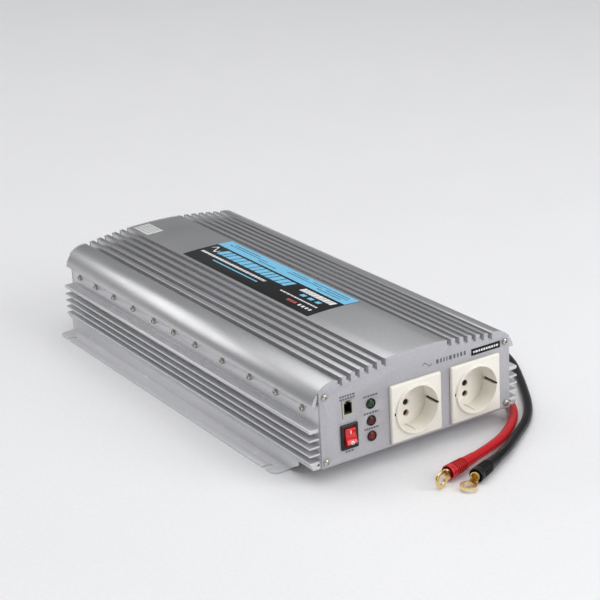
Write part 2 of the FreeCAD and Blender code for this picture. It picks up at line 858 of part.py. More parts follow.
def switch_blades():
    """Two flat terminals behind the switch."""
    z = rail_height + rocker_height
    half = blade_width / 2
    thin = blade_thickness / 2
    y = switch_body_depth
    return [
        block(rocker_x - half, rocker_x + half, y, y + blade_length, z + offset - thin, z + offset + thin)
        for offset in (-switch_body_height / 4, switch_body_height / 4)
    ]


# ---------------------------------------------------------------- remote jack
def remote_jack():
    """Small data-style jack with a latch notch above its bore."""
    width, depth, height = jack_body
    z = rail_height + jack_height
    y = panel_thickness + part_gap
    nose = block(
        jack_x - jack_nose_width / 2, jack_x + jack_nose_width / 2, -jack_nose_rise, y + 1,
        z - jack_nose_height / 2, z + jack_nose_height / 2)
    body = block(jack_x - width / 2, jack_x + width / 2, y, y + depth, z - height / 2, z + height / 2)
    bore_x = jack_bore_width / 2
    bore_z = jack_bore_height / 2
    notch_x = jack_notch_width / 2
    bore = block(jack_x - bore_x, jack_x + bore_x, -jack_nose_rise - 1, jack_bore_depth, z - bore_z, z + bore_z)
    notch_top = z + bore_z + jack_notch_height
    notch = block(jack_x - notch_x, jack_x + notch_x, -jack_nose_rise - 1, jack_bore_depth, z, notch_top)
    return joined([nose, body]).cut([bore, notch])


def jack_contacts():
    """Sprung contact wires along the floor of the jack's bore."""
    z = rail_height + jack_height - jack_bore_height / 2 + 3 * jack_contact_radius
    first = -(jack_contact_count - 1) / 2
    length = jack_bore_depth - 2
    wires = []
    for index in range(jack_contact_count):
        x = jack_x + (first + index) * jack_contact_pitch
        wires.append(rod((x, 1.5, z), along_y, jack_contact_radius, length))
    return wires


# ---------------------------------------------------------------- indicator lamps
def lamp(height):
    """A domed lamp that runs back to its board."""
    z = rail_height + height
    barrel = rod((lamp_x, 0, z), along_y, lamp_radius, lamp_depth - part_gap)
    dome_radius = (lamp_radius ** 2 + lamp_rise ** 2) / (2 * lamp_rise)
    ball = Part.makeSphere(dome_radius, Vector(lamp_x, dome_radius - lamp_rise, z))
    dome = ball.common(rod((lamp_x, -lamp_rise - 1, z), along_y, lamp_radius, lamp_rise + 1.5))
    return joined([barrel, dome])


def lamp_bezels():
    """The rings that hold the lamps in the panel."""
    bezels = []
    for height in lamp_heights:
        z = rail_height + height
        flange = rod((lamp_x, -lamp_bezel_rise, z), along_y, lamp_bezel_radius, lamp_bezel_rise)
        sleeve = rod((lamp_x, -0.2, z), along_y, lamp_radius + 2 * part_gap, panel_thickness + 1)
        bore = rod((lamp_x, -2, z), along_y, lamp_radius + slip_gap, panel_thickness + 5)
        bezels.append(flange.fuse(sleeve).cut(bore))
    return bezels


def lamp_board():
    """Small circuit board behind the lamps."""
    low = rail_height + min(lamp_heights) - 7
    high = rail_height + max(lamp_heights) + 7
    return block(lamp_x - 6, lamp_x + 6, lamp_depth, lamp_depth + lamp_board_thickness, low, high)


# ---------------------------------------------------------------- labels
def crown_label(x_low, x_high, y_low, y_high):
    """A thin label that follows the crown."""
    low = crown_at
    lift = thread_gap
    middle = (x_low + x_high) / 2
    top = lift + label_thickness
    return prism(
        "XZ", y_low, y_high,
        (x_low, low(x_low) + lift), ((middle, low(middle) + lift), (x_high, low(x_high) + lift)),
        (x_high, low(x_high) + top), ((middle, low(middle) + top), (x_low, low(x_low) + top)),
    )


def front_label():
    """Thin strip label above the right-hand socket."""
    low, high = strip_z
    return block(*strip_x, -label_thickness, 0, rail_height + low, rail_height + high)


# ---------------------------------------------------------------- fan
def fan_frame():
    """Square fan housing with a round duct and a motor cup on three struts."""
    z = rail_height + fan_height
    half = fan_size / 2
    front = case_rear - fan_depth
    frame = block(fan_x - half, fan_x + half, front, case_rear, z - half, z + half)
    frame = frame.cut(rod((fan_x, front - 1, z), along_y, fan_bore_radius, fan_depth + 2))
    pieces = [frame, rod((fan_x, front, z), along_y, fan_cup_radius, fan_cup_depth)]
    for angle in (90, 210, 330):
        strut = block(0, fan_bore_radius + 1, 0, fan_strut_width, -fan_strut_width / 2, fan_strut_width / 2)
        strut.Placement = Placement(Vector(fan_x, front, z), Rotation(along_y, angle))
        pieces.append(strut)
    frame = joined(pieces)
    cutters = [rod((fan_x, front + 1, z), along_y, fan_shaft_radius + slip_gap, fan_cup_depth)]
    for x, hole_z in fan_hole_places():
        cutters.append(rod((x, front - 1, hole_z), along_y, screw_radius + thread_gap, fan_depth + 2))
    return frame.cut(cutters).removeSplitter()


def fan_rotor():
    """Hub, pitched blades and shaft of the fan."""
    front = case_rear - fan_depth
    low = fan_cup_depth + part_gap
    high = fan_depth - 1.5
    length = high - low
    pieces = [rod((0, low, 0), along_y, fan_hub_radius, length)]
    pieces.append(rod((0, 1 + part_gap, 0), along_y, fan_shaft_radius, low))
    tip = fan_bore_radius - fan_tip_gap
    ring = rod((0, low, 0), along_y, tip, length)
    for index in range(fan_blade_count):
        half = length * 0.75
        blade = block(fan_hub_radius - 2, tip + 2, -half, half, -fan_blade_thickness / 2, fan_blade_thickness / 2)
        blade.rotate(Vector(0, 0, 0), along_x, fan_blade_pitch)
        blade.translate(Vector(0, low + length / 2, 0))
        blade.rotate(Vector(0, 0, 0), along_y, index * 360 / fan_blade_count)
        pieces.append(blade.common(ring))
    rotor = joined(pieces)
    rotor.translate(Vector(fan_x, front, rail_height + fan_height))
    return rotor


def fan_guard():
    """Wire guard of rings and crossing wires outside the rear panel."""
    y = body_length + guard_wire_radius
    z = rail_height + fan_height
    pieces = []
    pitch = (fan_bore_radius - guard_outer_inset - guard_inner_radius) / (guard_ring_count - 1)
    for index in range(guard_ring_count):
        radius = guard_inner_radius + index * pitch
        pieces.append(Part.makeTorus(radius, guard_wire_radius, Vector(fan_x, y, z), along_y))
    reach = fan_hole_offset * math.sqrt(2)
    for angle in (45, 135):
        direction = Vector(math.cos(math.radians(angle)), 0, math.sin(math.radians(angle)))
        start = Vector(fan_x, y, z) - direction * reach
        pieces.append(Part.makeCylinder(guard_wire_radius, 2 * reach, start, direction))
    for x, hole_z in fan_hole_places():
        pieces.append(rod((x, body_length, hole_z), along_y, screw_head_radius + 1, 2 * guard_wire_radius))
    guard = joined(pieces)
    holes = [rod((x, body_length - 1, hole_z), along_y, screw_hole_radius, 4) for x, hole_z in fan_hole_places()]
    return guard.cut(holes).removeSplitter()


def fan_screws():
    """Screws through the guard and the rear panel into the fan."""
    y = body_length + 2 * guard_wire_radius
    return [screw((x, y, z), along_y * -1, panel_screw_length) for x, z in fan_hole_places()]


# ---------------------------------------------------------------- cable exits and earth stud
def gland(x):
    """Cable gland: hexagonal flange, dome and thread through the rear panel."""
    z = rail_height + gland_height
    thread_length = gland_inner_length + panel_thickness
    inside = case_rear - gland_inner_length
    dome_length = gland_length - gland_hex_length
    dome = Part.makeCone(
        gland_dome_radius, gland_dome_radius * 0.8, dome_length, Vector(x, body_length + gland_hex_length, z), along_y)
    pieces = [
        hexagon((x, body_length, z), along_y, gland_hex, gland_hex_length),
        dome,
        rod((x, inside, z), along_y, gland_thread_radius, thread_length + 1),
    ]
    bore = rod((x, inside - 1, z), along_y, cable_radius - 1, gland_inner_length + panel_thickness)
    return joined(pieces).cut(bore).removeSplitter()


def gland_nuts():
    """Lock nuts on the inside of the rear panel."""
    z = rail_height + gland_height
    nuts = []
    for x in gland_x.values():
        y = case_rear - gland_nut_length
        nut = hexagon((x, y, z), along_y, gland_hex, gland_nut_length)
        nuts.append(nut.cut(rod((x, y - 1, z), along_y, gland_thread_radius + thread_gap, gland_nut_length + 2)))
    return nuts


def earth_stud():
    """Stud through the rear panel, with a plain end beyond its nut."""
    z = rail_height + earth_height
    inside = case_rear - earth_inner_length
    nut_face = body_length + earth_washer_thickness + earth_nut_thickness
    end = body_length + earth_length
    threaded = rod((earth_x, inside, z), along_y, earth_radius, nut_face - inside)
    return joined([threaded, rod((earth_x, nut_face, z), along_y, earth_end_radius, end - nut_face)])


def earth_nuts():
    """Washer and nut outside the panel, and a nut inside."""
    z = rail_height + earth_height
    bore = rod((earth_x, 0, z), along_y, earth_radius + thread_gap, 2 * body_length)
    washer = rod((earth_x, body_length, z), along_y, earth_washer_radius, earth_washer_thickness)
    outer_y = body_length + earth_washer_thickness
    inner_y = case_rear - earth_nut_thickness
    outer = hexagon((earth_x, outer_y, z), along_y, earth_nut_size, earth_nut_thickness)
    inner = hexagon((earth_x, inner_y, z), along_y, earth_nut_size, earth_nut_thickness)
    return [piece.cut(bore) for piece in (washer, outer, inner)]


# ---------------------------------------------------------------- cables
def cable_tube(name):
    """A cable along its route: straight runs joined by tangent arcs."""
    route = [Vector(*point) for point in cable_routes[name]]
    edges = []
    radii = []
    here = route[0]
    for before, corner, after in zip(route, route[1:], route[2:]):
        into = corner - before
        out = after - corner
        turn = into.getAngle(out)
        reach = 0.45 * min(into.Length, out.Length)
        bend = reach / math.tan(turn / 2)
        into.normalize()
        out.normalize()
        inside = out - into
        inside.normalize()
        start = corner - into * reach
        end = corner + out * reach
        middle = corner + inside * (bend / math.cos(turn / 2) - bend)
        edges.append(Part.LineSegment(here, start).toShape())
        edges.append(Part.Arc(start, middle, end).toShape())
        radii.append(round(bend))
        here = end
    edges.append(Part.LineSegment(here, route[-1]).toShape())
    path = Part.Wire(edges)
    ring = Part.Wire(Part.makeCircle(cable_radius, route[0], route[1] - route[0]))
    tube = path.makePipeShell([ring], True, False)
    share = tube.Volume / (math.pi * cable_radius ** 2 * path.Length)
    print(name, "cable: length", round(path.Length), "bend radii", radii, "volume share", round(share, 4))
    return tube


def placed_at_cable_end(name, shape, roll):
    """Moves a piece modelled along +Z, with +Y up, to the end of a cable, rolled about the cable."""
    before, end = (Vector(*point) for point in cable_routes[name][-2:])
    onward = end - before
    upright = Rotation(along_z.cross(onward), along_z, onward, "ZYX")
    shape.Placement = Placement(end, upright * Rotation(along_z, roll))
    return shape


def boot():
    """Ribbed boot over the cable's end, widening to an open mouth; modelled along +Z."""
    sleeve = Part.makeCone(boot_radius, boot_mouth_radius, boot_length)
    step = boot_length * 0.8 / boot_rib_count
    for index in range(boot_rib_count):
        z = boot_length * 0.1 + index * step
        radius = boot_radius + (boot_mouth_radius - boot_radius) * z / boot_length
        outer = Part.makeCylinder(radius + 2, step * 0.4, Vector(0, 0, z))
        inner = Part.makeCylinder(radius - boot_rib_depth, step * 0.4, Vector(0, 0, z))
        sleeve = sleeve.cut(outer.cut(inner))
    bore = Part.makeCylinder(crimp_radius + slip_gap, boot_length, Vector(0, 0, boot_wall))
    mouth = Part.makeCylinder(boot_mouth_radius - boot_wall, boot_length, Vector(0, 0, boot_length - 2.5))
    return sleeve.cut([bore, mouth])


def ring_terminal():
    """Crimp barrel and eyelet, modelled along +Z with the eyelet flush with the barrel's underside."""
    low = -crimp_radius
    high = low + ring_thickness
    barrel = Part.makeCylinder(crimp_radius, crimp_end - boot_wall, Vector(0, 0, boot_wall))
    eyelet = Part.makeCylinder(ring_radius, ring_thickness, Vector(0, low, ring_distance), along_y)
    neck = block(-neck_width / 2, neck_width / 2, low, high, crimp_end - 4, ring_distance)
    core_length = crimp_end - boot_length + 4
    core = Part.makeCylinder(crimp_radius - crimp_wall, core_length, Vector(0, 0, boot_length - 3))
    shape = joined([barrel.cut(core), eyelet, neck])
    hole = Part.makeCylinder(ring_hole_radius, ring_thickness + 2, Vector(0, low - 1, ring_distance), along_y)
    return shape.cut(hole).removeSplitter()


# ---------------------------------------------------------------- inside
def standoff_places():
    """Where the main board is held."""
    step = (board_rear - board_front - 2 * standoff_end) / (standoff_rows - 1)
    return [
        (side * (board_half_width - standoff_inset), board_front + standoff_end + row * step)
        for row in range(standoff_rows) for side in (-1, 1)
    ]


def main_board():
    """Main circuit board."""
    z = board_top - board_thickness
    board = block(-board_half_width, board_half_width, board_front, board_rear, z, board_top)
    holes = [rod((x, y, z - 1), along_z, screw_hole_radius, board_thickness + 2) for x, y in standoff_places()]
    return board.cut(holes)


def board_standoffs():
    """Pillars on the base plate, each with a stud above and below."""
    z = rail_height + base_thickness
    group = []
    for x, y in standoff_places():
        pillar = hexagon((x, y, z), along_z, 2 * standoff_radius, standoff_height)
        stud = rod((x, y, rail_height), along_z, screw_radius, board_top + 1.5 - rail_height)
        group.append(pillar.fuse(stud).removeSplitter())
    return group


def transformer_stations():
    """Where the transformers stand along the board."""
    return [transformer_first + index * transformer_pitch for index in range(transformer_count)]


def transformer_cores():
    """Ferrite cores: a closed frame with a middle leg hidden by the winding."""
    width, depth, height = transformer_size
    thick = height / 4
    group = []
    for y in transformer_stations():
        x_low = transformer_x - width / 2
        z = board_top + winding_overhang
        frame = block(x_low, x_low + width, y - depth / 4, y + depth / 4, z, z + height)
        window = block(x_low + thick, x_low + width - thick, y - depth, y + depth, z + thick, z + height - thick)
        group.append(frame.cut(window))
    return group


def transformer_windings():
    """Wound bobbins, each through the window of its core."""
    width, depth, height = transformer_size
    thick = height / 4
    group = []
    for y in transformer_stations():
        z = board_top + winding_overhang
        x_half = width / 2 - thick - part_gap
        middle = block(
            transformer_x - x_half, transformer_x + x_half, y - depth / 2, y + depth / 2,
            z + thick + part_gap, z + height - thick - part_gap)
        leg_y = depth / 2 - 3
        legs = []
        for side in (-1, 1):
            y_low, y_high = sorted((y + side * leg_y, y + side * depth / 2))
            legs.append(block(transformer_x - x_half, transformer_x + x_half, y_low, y_high, board_top, z + thick + 1))
        group.append(joined([middle] + legs))
    return group


def row_stations(count, pitch):
    """Evenly spaced places about the middle of the board."""
    middle = (board_front + board_rear) / 2
    return [middle + (index - (count - 1) / 2) * pitch for index in range(count)]


def capacitors(x, radius, height, count, pitch):
    """A row of round capacitors with a groove round the foot and a rolled top."""
    group = []
    for y in row_stations(count, pitch):
        can = rod((x, y, board_top), along_z, radius, height)
        top = [edge for edge in can.Edges if edge.BoundBox.ZMin > board_top + height - 1e-3]
        can = can.makeFillet(1.2, top)
        groove = rod((x, y, board_top + 3), along_z, radius + 1, 1.2).cut(
            rod((x, y, board_top + 3), along_z, radius - 0.6, 1.2))
        group.append(can.cut(groove))
    return group


def fuses():
    """Blade fuses that stand on the board near the cables."""
    width, depth, height = fuse_size
    group = []
    for index in range(fuse_count):
        x = min(gland_x.values()) + index * fuse_pitch
        y = board_rear - depth
        low = block(x - width / 2, x + width / 2, y - depth / 2, y + depth / 2, board_top, board_top + height * 0.6)
        high_half = depth / 2 - 2
        high = block(x - width / 2, x + width / 2, y - high_half, y + high_half, board_top, board_top + height)
        group.append(joined([low, high]))
    return group


def bus_bars():
    """Copper strips that take the battery current along the board."""
    x = board_half_width - bus_bar_inset
    half = bus_bar_width / 2
    low = board_front + bus_bar_end
    high = board_rear - bus_bar_end
    return on_both_sides(block(x - half, x + half, low, high, board_top, board_top + bus_bar_thickness))


def build():
    """Builds and saves every piece."""
    os.makedirs("parts", exist_ok=True)
    save("top_cover", top_cover())
    save("base_plate", base_plate())
    save("front_panel", front_panel())
    save("rear_panel", rear_panel())
    save("rail_screws", rail_screws())
    save("front_panel_screws", panel_screws(front=True))
    save("rear_panel_screws", panel_screws(front=False))

    right_hand_pieces = {
        "side_heatsink": side_heatsink(),
        "mounting_rail": mounting_rail(),
        "side_screws": Part.makeCompound(side_screws()),
        "clamp_bar": clamp_bar(),
        "transistors": Part.makeCompound(transistors()),
    }
    for name, shape in right_hand_pieces.items():
        save("left_" + name, mirrored(shape))
        save("right_" + name, shape)

    save("insulating_pads", on_both_sides(insulating_pad()))

    for side, x in zip(("left", "right"), socket_centres):
        save(side + "_socket_body", socket_body(x))
        save(side + "_socket_terminal_block", socket_terminal_block(x))
    save("socket_earth_clips", sum((earth_clips(x) for x in socket_centres), []))
    save("socket_contacts", sum((socket_contacts(x) for x in socket_centres), []))
    save("socket_centre_screws", [socket_centre_screw(x) for x in socket_centres])

    save("rocker_housing", rocker_housing())
    save("rocker_button", rocker_button())
    save("switch_blades", switch_blades())
    save("remote_jack", remote_jack())
    save("jack_contacts", jack_contacts())
    for name, height in zip(lamp_names, lamp_heights):
        save(name + "_lamp", lamp(height))
    save("lamp_bezels", lamp_bezels())
    save("lamp_board", lamp_board())

    half = top_label_width / 2
    save("top_label", crown_label(-half, half, top_label_front, body_length - top_label_rear_gap))
    tag_rear = body_length - tag_rear_gap
    save("rear_tag", crown_label(*tag_x, tag_rear - tag_length, tag_rear))
    save("front_label", front_label())

    save("fan_frame", fan_frame())
    save("fan_rotor", fan_rotor())
    save("fan_guard", fan_guard())
    save("fan_screws", fan_screws())

    eyelet_rolls = {"red": 90, "black": 0}
    for name, x in gland_x.items():
        save(name + "_cable_gland", gland(x))
        save(name + "_cable", cable_tube(name))
        save(name + "_boot", placed_at_cable_end(name, boot(), 0))
        save(name + "_ring_terminal", placed_at_cable_end(name, ring_terminal(), eyelet_rolls[name]))
    save("gland_nuts", gland_nuts())
    save("earth_stud", earth_stud())
    save("earth_nuts", earth_nuts())

    save("main_board", main_board())
    save("board_standoffs", board_standoffs())
    save("transformer_cores", transformer_cores())
    save("transformer_windings", transformer_windings())
    save("capacitors", capacitors(
        input_capacitor_x, input_capacitor_radius, input_capacitor_height,
        input_capacitor_count, input_capacitor_pitch))
    save("fuses", fuses())
    save("bus_bars", bus_bars())


build()
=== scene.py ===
"""Looks of a power inverter: finned aluminium case, power sockets, switch, lamps and two battery leads.

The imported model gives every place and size. Lengths are in metres, X across, Y from front to rear, Z up.
"""

import logging
import math
import random
from dataclasses import dataclass, field
from enum import Enum
from typing import Sequence

import bmesh
import bpy
from mathutils import Matrix, Vector


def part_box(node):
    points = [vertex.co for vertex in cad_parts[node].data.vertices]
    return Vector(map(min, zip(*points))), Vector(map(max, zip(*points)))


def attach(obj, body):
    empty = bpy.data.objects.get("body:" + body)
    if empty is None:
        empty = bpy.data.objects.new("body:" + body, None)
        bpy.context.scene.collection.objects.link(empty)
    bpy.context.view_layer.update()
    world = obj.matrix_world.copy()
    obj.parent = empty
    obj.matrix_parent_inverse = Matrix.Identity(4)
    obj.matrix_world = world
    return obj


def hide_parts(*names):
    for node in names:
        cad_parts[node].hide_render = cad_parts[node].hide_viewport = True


LOG = logging.getLogger("inverter")
MM = 0.001
MERGE_DISTANCE = 1e-6
BEND_STEP = 1.5 * MM

Colour = tuple[float, float, float]
Point = tuple[float, float, float]


class Body(Enum):
    """The bodies that a piece can ride on."""

    CASE = "case"
    ROCKER = "rocker"
    FAN = "fan"


class Facing(Enum):
    """The way that a face, a screw head or a print looks."""

    FRONT = (0.0, -1.0, 0.0)
    REAR = (0.0, 1.0, 0.0)
    LEFT = (-1.0, 0.0, 0.0)
    RIGHT = (1.0, 0.0, 0.0)
    UP = (0.0, 0.0, 1.0)
    DOWN = (0.0, 0.0, -1.0)

    @property
    def vector(self) -> Vector:
        """The direction as a vector."""
        return Vector(self.value)


# ---------------------------------------------------------------- shared shader effects
class Effect(Enum):
    """Surface effects that several finishes share, each a node group."""

    GRAIN = "fine_grain"
    DRAWN = "drawn_lines"
    HANDLING = "handling_marks"
    RUB = "rubbed_patches"


def group_tree(name: str, numbers: dict[str, float], outputs: Sequence[str]) -> bpy.types.NodeTree:
    """Starts a shader node group.

    Args:
        name: The group's name.
        numbers: Its number inputs, with their defaults, after the Vector input.
        outputs: The names of its number outputs.

    Returns:
        The new node tree, with its input and output nodes in place.
    """
    tree = bpy.data.node_groups.new(name, "ShaderNodeTree")
    tree.interface.new_socket("Vector", in_out="INPUT", socket_type="NodeSocketVector")
    for label, value in numbers.items():
        socket = tree.interface.new_socket(label, in_out="INPUT", socket_type="NodeSocketFloat")
        socket.default_value = value
    for label in outputs:
        tree.interface.new_socket(label, in_out="OUTPUT", socket_type="NodeSocketFloat")
    tree.nodes.new("NodeGroupInput").name = "In"
    tree.nodes.new("NodeGroupOutput").name = "Out"
    return tree


def stretched(tree: bpy.types.NodeTree, across: Point) -> bpy.types.NodeSocket:
    """The group's Vector input, scaled differently along each axis.

    Args:
        tree: The group's node tree.
        across: The factor along each axis.

    Returns:
        The scaled vector's socket.
    """
    scale = tree.nodes.new("ShaderNodeVectorMath")
    scale.operation = "MULTIPLY"
    scale.inputs[1].default_value = across
    tree.links.new(tree.nodes["In"].outputs["Vector"], scale.inputs[0])
    return scale.outputs["Vector"]


def noise_in(tree: bpy.types.NodeTree, vector: bpy.types.NodeSocket, detail: float) -> bpy.types.NodeSocket:
    """A noise inside a group, at the group's own Scale.

    Args:
        tree: The group's node tree.
        vector: Where the noise reads its place from.
        detail: How many octaves it has.

    Returns:
        The noise's value socket.
    """
    noise = tree.nodes.new("ShaderNodeTexNoise")
    noise.inputs["Detail"].default_value = detail
    tree.links.new(vector, noise.inputs["Vector"])
    tree.links.new(tree.nodes["In"].outputs["Scale"], noise.inputs["Scale"])
    return noise.outputs["Fac"]


def spread(tree: bpy.types.NodeTree, value: bpy.types.NodeSocket, low: float, high: float) -> bpy.types.NodeSocket:
    """Widens a noise's middle values to the whole range from 0 to 1.

    Args:
        tree: The tree to add to.
        value: The noise.
        low: The value that becomes 0.
        high: The value that becomes 1.

    Returns:
        The widened value's socket.
    """
    reach = tree.nodes.new("ShaderNodeMapRange")
    reach.interpolation_type = "SMOOTHSTEP"
    reach.inputs["From Min"].default_value = low
    reach.inputs["From Max"].default_value = high
    tree.links.new(value, reach.inputs["Value"])
    return reach.outputs["Result"]


def fine_grain() -> bpy.types.NodeTree:
    """Tiny even speckle, as on anodised or moulded surfaces."""
    tree = group_tree(Effect.GRAIN.value, {"Scale": 1200.0}, ("Mask", "Height"))
    even = stretched(tree, (1.0, 1.0, 1.0))
    value = noise_in(tree, even, 3.0)
    tree.links.new(spread(tree, value, 0.35, 0.65), tree.nodes["Out"].inputs["Mask"])
    tree.links.new(value, tree.nodes["Out"].inputs["Height"])
    return tree


def drawn_lines() -> bpy.types.NodeTree:
    """Faint lines along Y, as an extrusion die leaves."""
    tree = group_tree(Effect.DRAWN.value, {"Scale": 700.0}, ("Mask", "Height"))
    value = noise_in(tree, stretched(tree, (1.0, 0.004, 1.0)), 4.0)
    tree.links.new(spread(tree, value, 0.3, 0.7), tree.nodes["Out"].inputs["Mask"])
    tree.links.new(value, tree.nodes["Out"].inputs["Height"])
    return tree


def handling_marks() -> bpy.types.NodeTree:
    """Broad soft patches where hands and cloths have been."""
    tree = group_tree(Effect.HANDLING.value, {"Scale": 18.0}, ("Mask",))
    value = noise_in(tree, stretched(tree, (1.0, 0.6, 1.0)), 5.0)
    tree.links.new(spread(tree, value, 0.3, 0.72), tree.nodes["Out"].inputs["Mask"])
    return tree


def rubbed_patches() -> bpy.types.NodeTree:
    """Sparse small spots where a surface is rubbed or dusty."""
    tree = group_tree(Effect.RUB.value, {"Scale": 160.0}, ("Mask",))
    value = noise_in(tree, stretched(tree, (1.0, 0.5, 1.0)), 6.0)
    tree.links.new(spread(tree, value, 0.6, 0.78), tree.nodes["Out"].inputs["Mask"])
    return tree


EFFECT_MAKERS = {
    Effect.GRAIN: fine_grain,
    Effect.DRAWN: drawn_lines,
    Effect.HANDLING: handling_marks,
    Effect.RUB: rubbed_patches,
}


# ---------------------------------------------------------------- finishes
@dataclass(frozen=True)
class Finish:
    """One surface finish.

    Attributes:
        slot: The record's material slot that it belongs to.
        colour: Its main colour.
        tint: The colour that its grain brings in.
        gloss: Roughness where it is cleanest and where it is most handled.
        metallic: 1 for bare metal.
        grain: Grains per metre.
        grain_depth: Depth of the grain's relief.
        drawn_depth: Depth of the extrusion lines, 0 where there are none.
        worn: Colour of its rubbed spots, or None.
        coat: Weight of a clear coat.
        bend: Refractive index.
    """

    slot: str
    colour: Colour
    tint: Colour
    gloss: tuple[float, float]
    metallic: float = 0.0
    grain: float = 1200.0
    grain_depth: float = 0.004 * MM
    drawn_depth: float = 0.0
    worn: Colour | None = None
    coat: float = 0.0
    bend: float = 1.45

    def material(self, name: str = "") -> bpy.types.Material:
        """Builds the finish once and returns its material.

        Args:
            name: The material's name; the slot's name if it is left out.

        Returns:
            The material.
        """
        name = name or self.slot
        known = bpy.data.materials.get("finish_" + name)
        if known:
            return known
        material = bpy.data.materials.new("finish_" + name)
        material.use_nodes = True
        tree = material.node_tree
        shader = tree.nodes["Principled BSDF"]
        shader.inputs["Metallic"].default_value = self.metallic
        shader.inputs["IOR"].default_value = self.bend
        shader.inputs["Coat Weight"].default_value = self.coat
        place = tree.nodes.new("ShaderNodeTexCoord").outputs["Object"]
        grain = self.effect(tree, Effect.GRAIN, place, self.grain)
        tree.links.new(self.coloured(tree, grain, place), shader.inputs["Base Color"])
        self.roughened(tree, shader, place)
        self.relieved(tree, shader, grain, place)
        self.special(tree, shader, place)
        return material

    def effect(self, tree: bpy.types.NodeTree, effect: Effect, place: bpy.types.NodeSocket,
               scale: float) -> bpy.types.Node:
        """Places a shared effect's group in a material.

        Args:
            tree: The material's nodes.
            effect: Which effect.
            place: The coordinates that it reads.
            scale: Its features per metre.

        Returns:
            The group node.
        """
        node = tree.nodes.new("ShaderNodeGroup")
        node.node_tree = bpy.data.node_groups.get(effect.value) or EFFECT_MAKERS[effect]()
        node.inputs["Scale"].default_value = scale
        tree.links.new(place, node.inputs["Vector"])
        return node

    def mixed(self, tree: bpy.types.NodeTree, mask: bpy.types.NodeSocket, first: Colour | bpy.types.NodeSocket,
              second: Colour) -> bpy.types.NodeSocket:
        """Mixes two colours by a mask.

        Args:
            tree: The material's nodes.
            mask: 0 gives the first colour and 1 the second.
            first: A colour, or the socket of one.
            second: The other colour.

        Returns:
            The mixed colour's socket.
        """
        mix = tree.nodes.new("ShaderNodeMix")
        mix.data_type = "RGBA"
        tree.links.new(mask, mix.inputs["Factor"])
        if isinstance(first, tuple):
            mix.inputs["A"].default_value = (*first, 1.0)
        else:
            tree.links.new(first, mix.inputs["A"])
        mix.inputs["B"].default_value = (*second, 1.0)
        return mix.outputs["Result"]

    def coloured(self, tree: bpy.types.NodeTree, grain: bpy.types.Node,
                 place: bpy.types.NodeSocket) -> bpy.types.NodeSocket:
        """The finish's colour, with its grain and rubbed spots.

        Args:
            tree: The material's nodes.
            grain: The grain's group node.
            place: The coordinates.

        Returns:
            The colour's socket.
        """
        colour = self.mixed(tree, grain.outputs["Mask"], self.colour, self.tint)
        if self.worn:
            rub = self.effect(tree, Effect.RUB, place, 160.0)
            colour = self.mixed(tree, rub.outputs["Mask"], colour, self.worn)
        return colour

    def roughened(self, tree: bpy.types.NodeTree, shader: bpy.types.Node, place: bpy.types.NodeSocket) -> None:
        """Lets the handling marks vary the roughness.

        Args:
            tree: The material's nodes.
            shader: The Principled shader.
            place: The coordinates.
        """
        marks = self.effect(tree, Effect.HANDLING, place, 18.0)
        reach = tree.nodes.new("ShaderNodeMapRange")
        reach.inputs["To Min"].default_value = self.gloss[0]
        reach.inputs["To Max"].default_value = self.gloss[1]
        tree.links.new(marks.outputs["Mask"], reach.inputs["Value"])
        tree.links.new(reach.outputs["Result"], shader.inputs["Roughness"])

    def relieved(self, tree: bpy.types.NodeTree, shader: bpy.types.Node, grain: bpy.types.Node,
                 place: bpy.types.NodeSocket) -> None:
        """Gives the surface its small relief.

        Args:
            tree: The material's nodes.
            shader: The Principled shader.
            grain: The grain's group node.
            place: The coordinates.
        """
        bump = self.bump(tree, grain.outputs["Height"], self.grain_depth)
        if self.drawn_depth:
            lines = self.effect(tree, Effect.DRAWN, place, 700.0)
            second = self.bump(tree, lines.outputs["Height"], self.drawn_depth)
            tree.links.new(bump.outputs["Normal"], second.inputs["Normal"])
            bump = second
        tree.links.new(bump.outputs["Normal"], shader.inputs["Normal"])

    def bump(self, tree: bpy.types.NodeTree, height: bpy.types.NodeSocket, depth: float) -> bpy.types.Node:
        """A Bump node of a given depth.

        Args:
            tree: The material's nodes.
            height: The relief.
            depth: Its depth in metres.

        Returns:
            The Bump node.
        """
        bump = tree.nodes.new("ShaderNodeBump")
        bump.inputs["Distance"].default_value = depth
        tree.links.new(height, bump.inputs["Height"])
        return bump

    def special(self, tree: bpy.types.NodeTree, shader: bpy.types.Node, place: bpy.types.NodeSocket) -> None:
        """What a particular kind of finish adds; nothing here.

        Args:
            tree: The material's nodes.
            shader: The Principled shader.
            place: The coordinates.
        """


@dataclass(frozen=True)
class GlowingPlastic(Finish):
    """Tinted plastic that lets light in, as a lens or a lit rocker.

    Attributes:
        depth: How far light spreads inside.
        inner: Weight of the light that comes back from inside.
    """

    depth: float = 1.5 * MM
    inner: float = 0.35

    def special(self, tree: bpy.types.NodeTree, shader: bpy.types.Node, place: bpy.types.NodeSocket) -> None:
        """Lets light spread under the surface.

        Args:
            tree: The material's nodes.
            shader: The Principled shader.
            place: The coordinates.
        """
        shader.inputs["Subsurface Weight"].default_value = self.inner
        shader.inputs["Subsurface Radius"].default_value = (1.0, 0.3, 0.2)
        shader.inputs["Subsurface Scale"].default_value = self.depth


@dataclass(frozen=True)
class CableJacket(Finish):
    """Soft cable jacket with a faint sheen.

    Attributes:
        sheen: Weight of the sheen.
    """

    sheen: float = 0.04

    def special(self, tree: bpy.types.NodeTree, shader: bpy.types.Node, place: bpy.types.NodeSocket) -> None:
        """Adds the sheen.

        Args:
            tree: The material's nodes.
            shader: The Principled shader.
            place: The coordinates.
        """
        shader.inputs["Sheen Weight"].default_value = self.sheen
        shader.inputs["Sheen Roughness"].default_value = 0.4


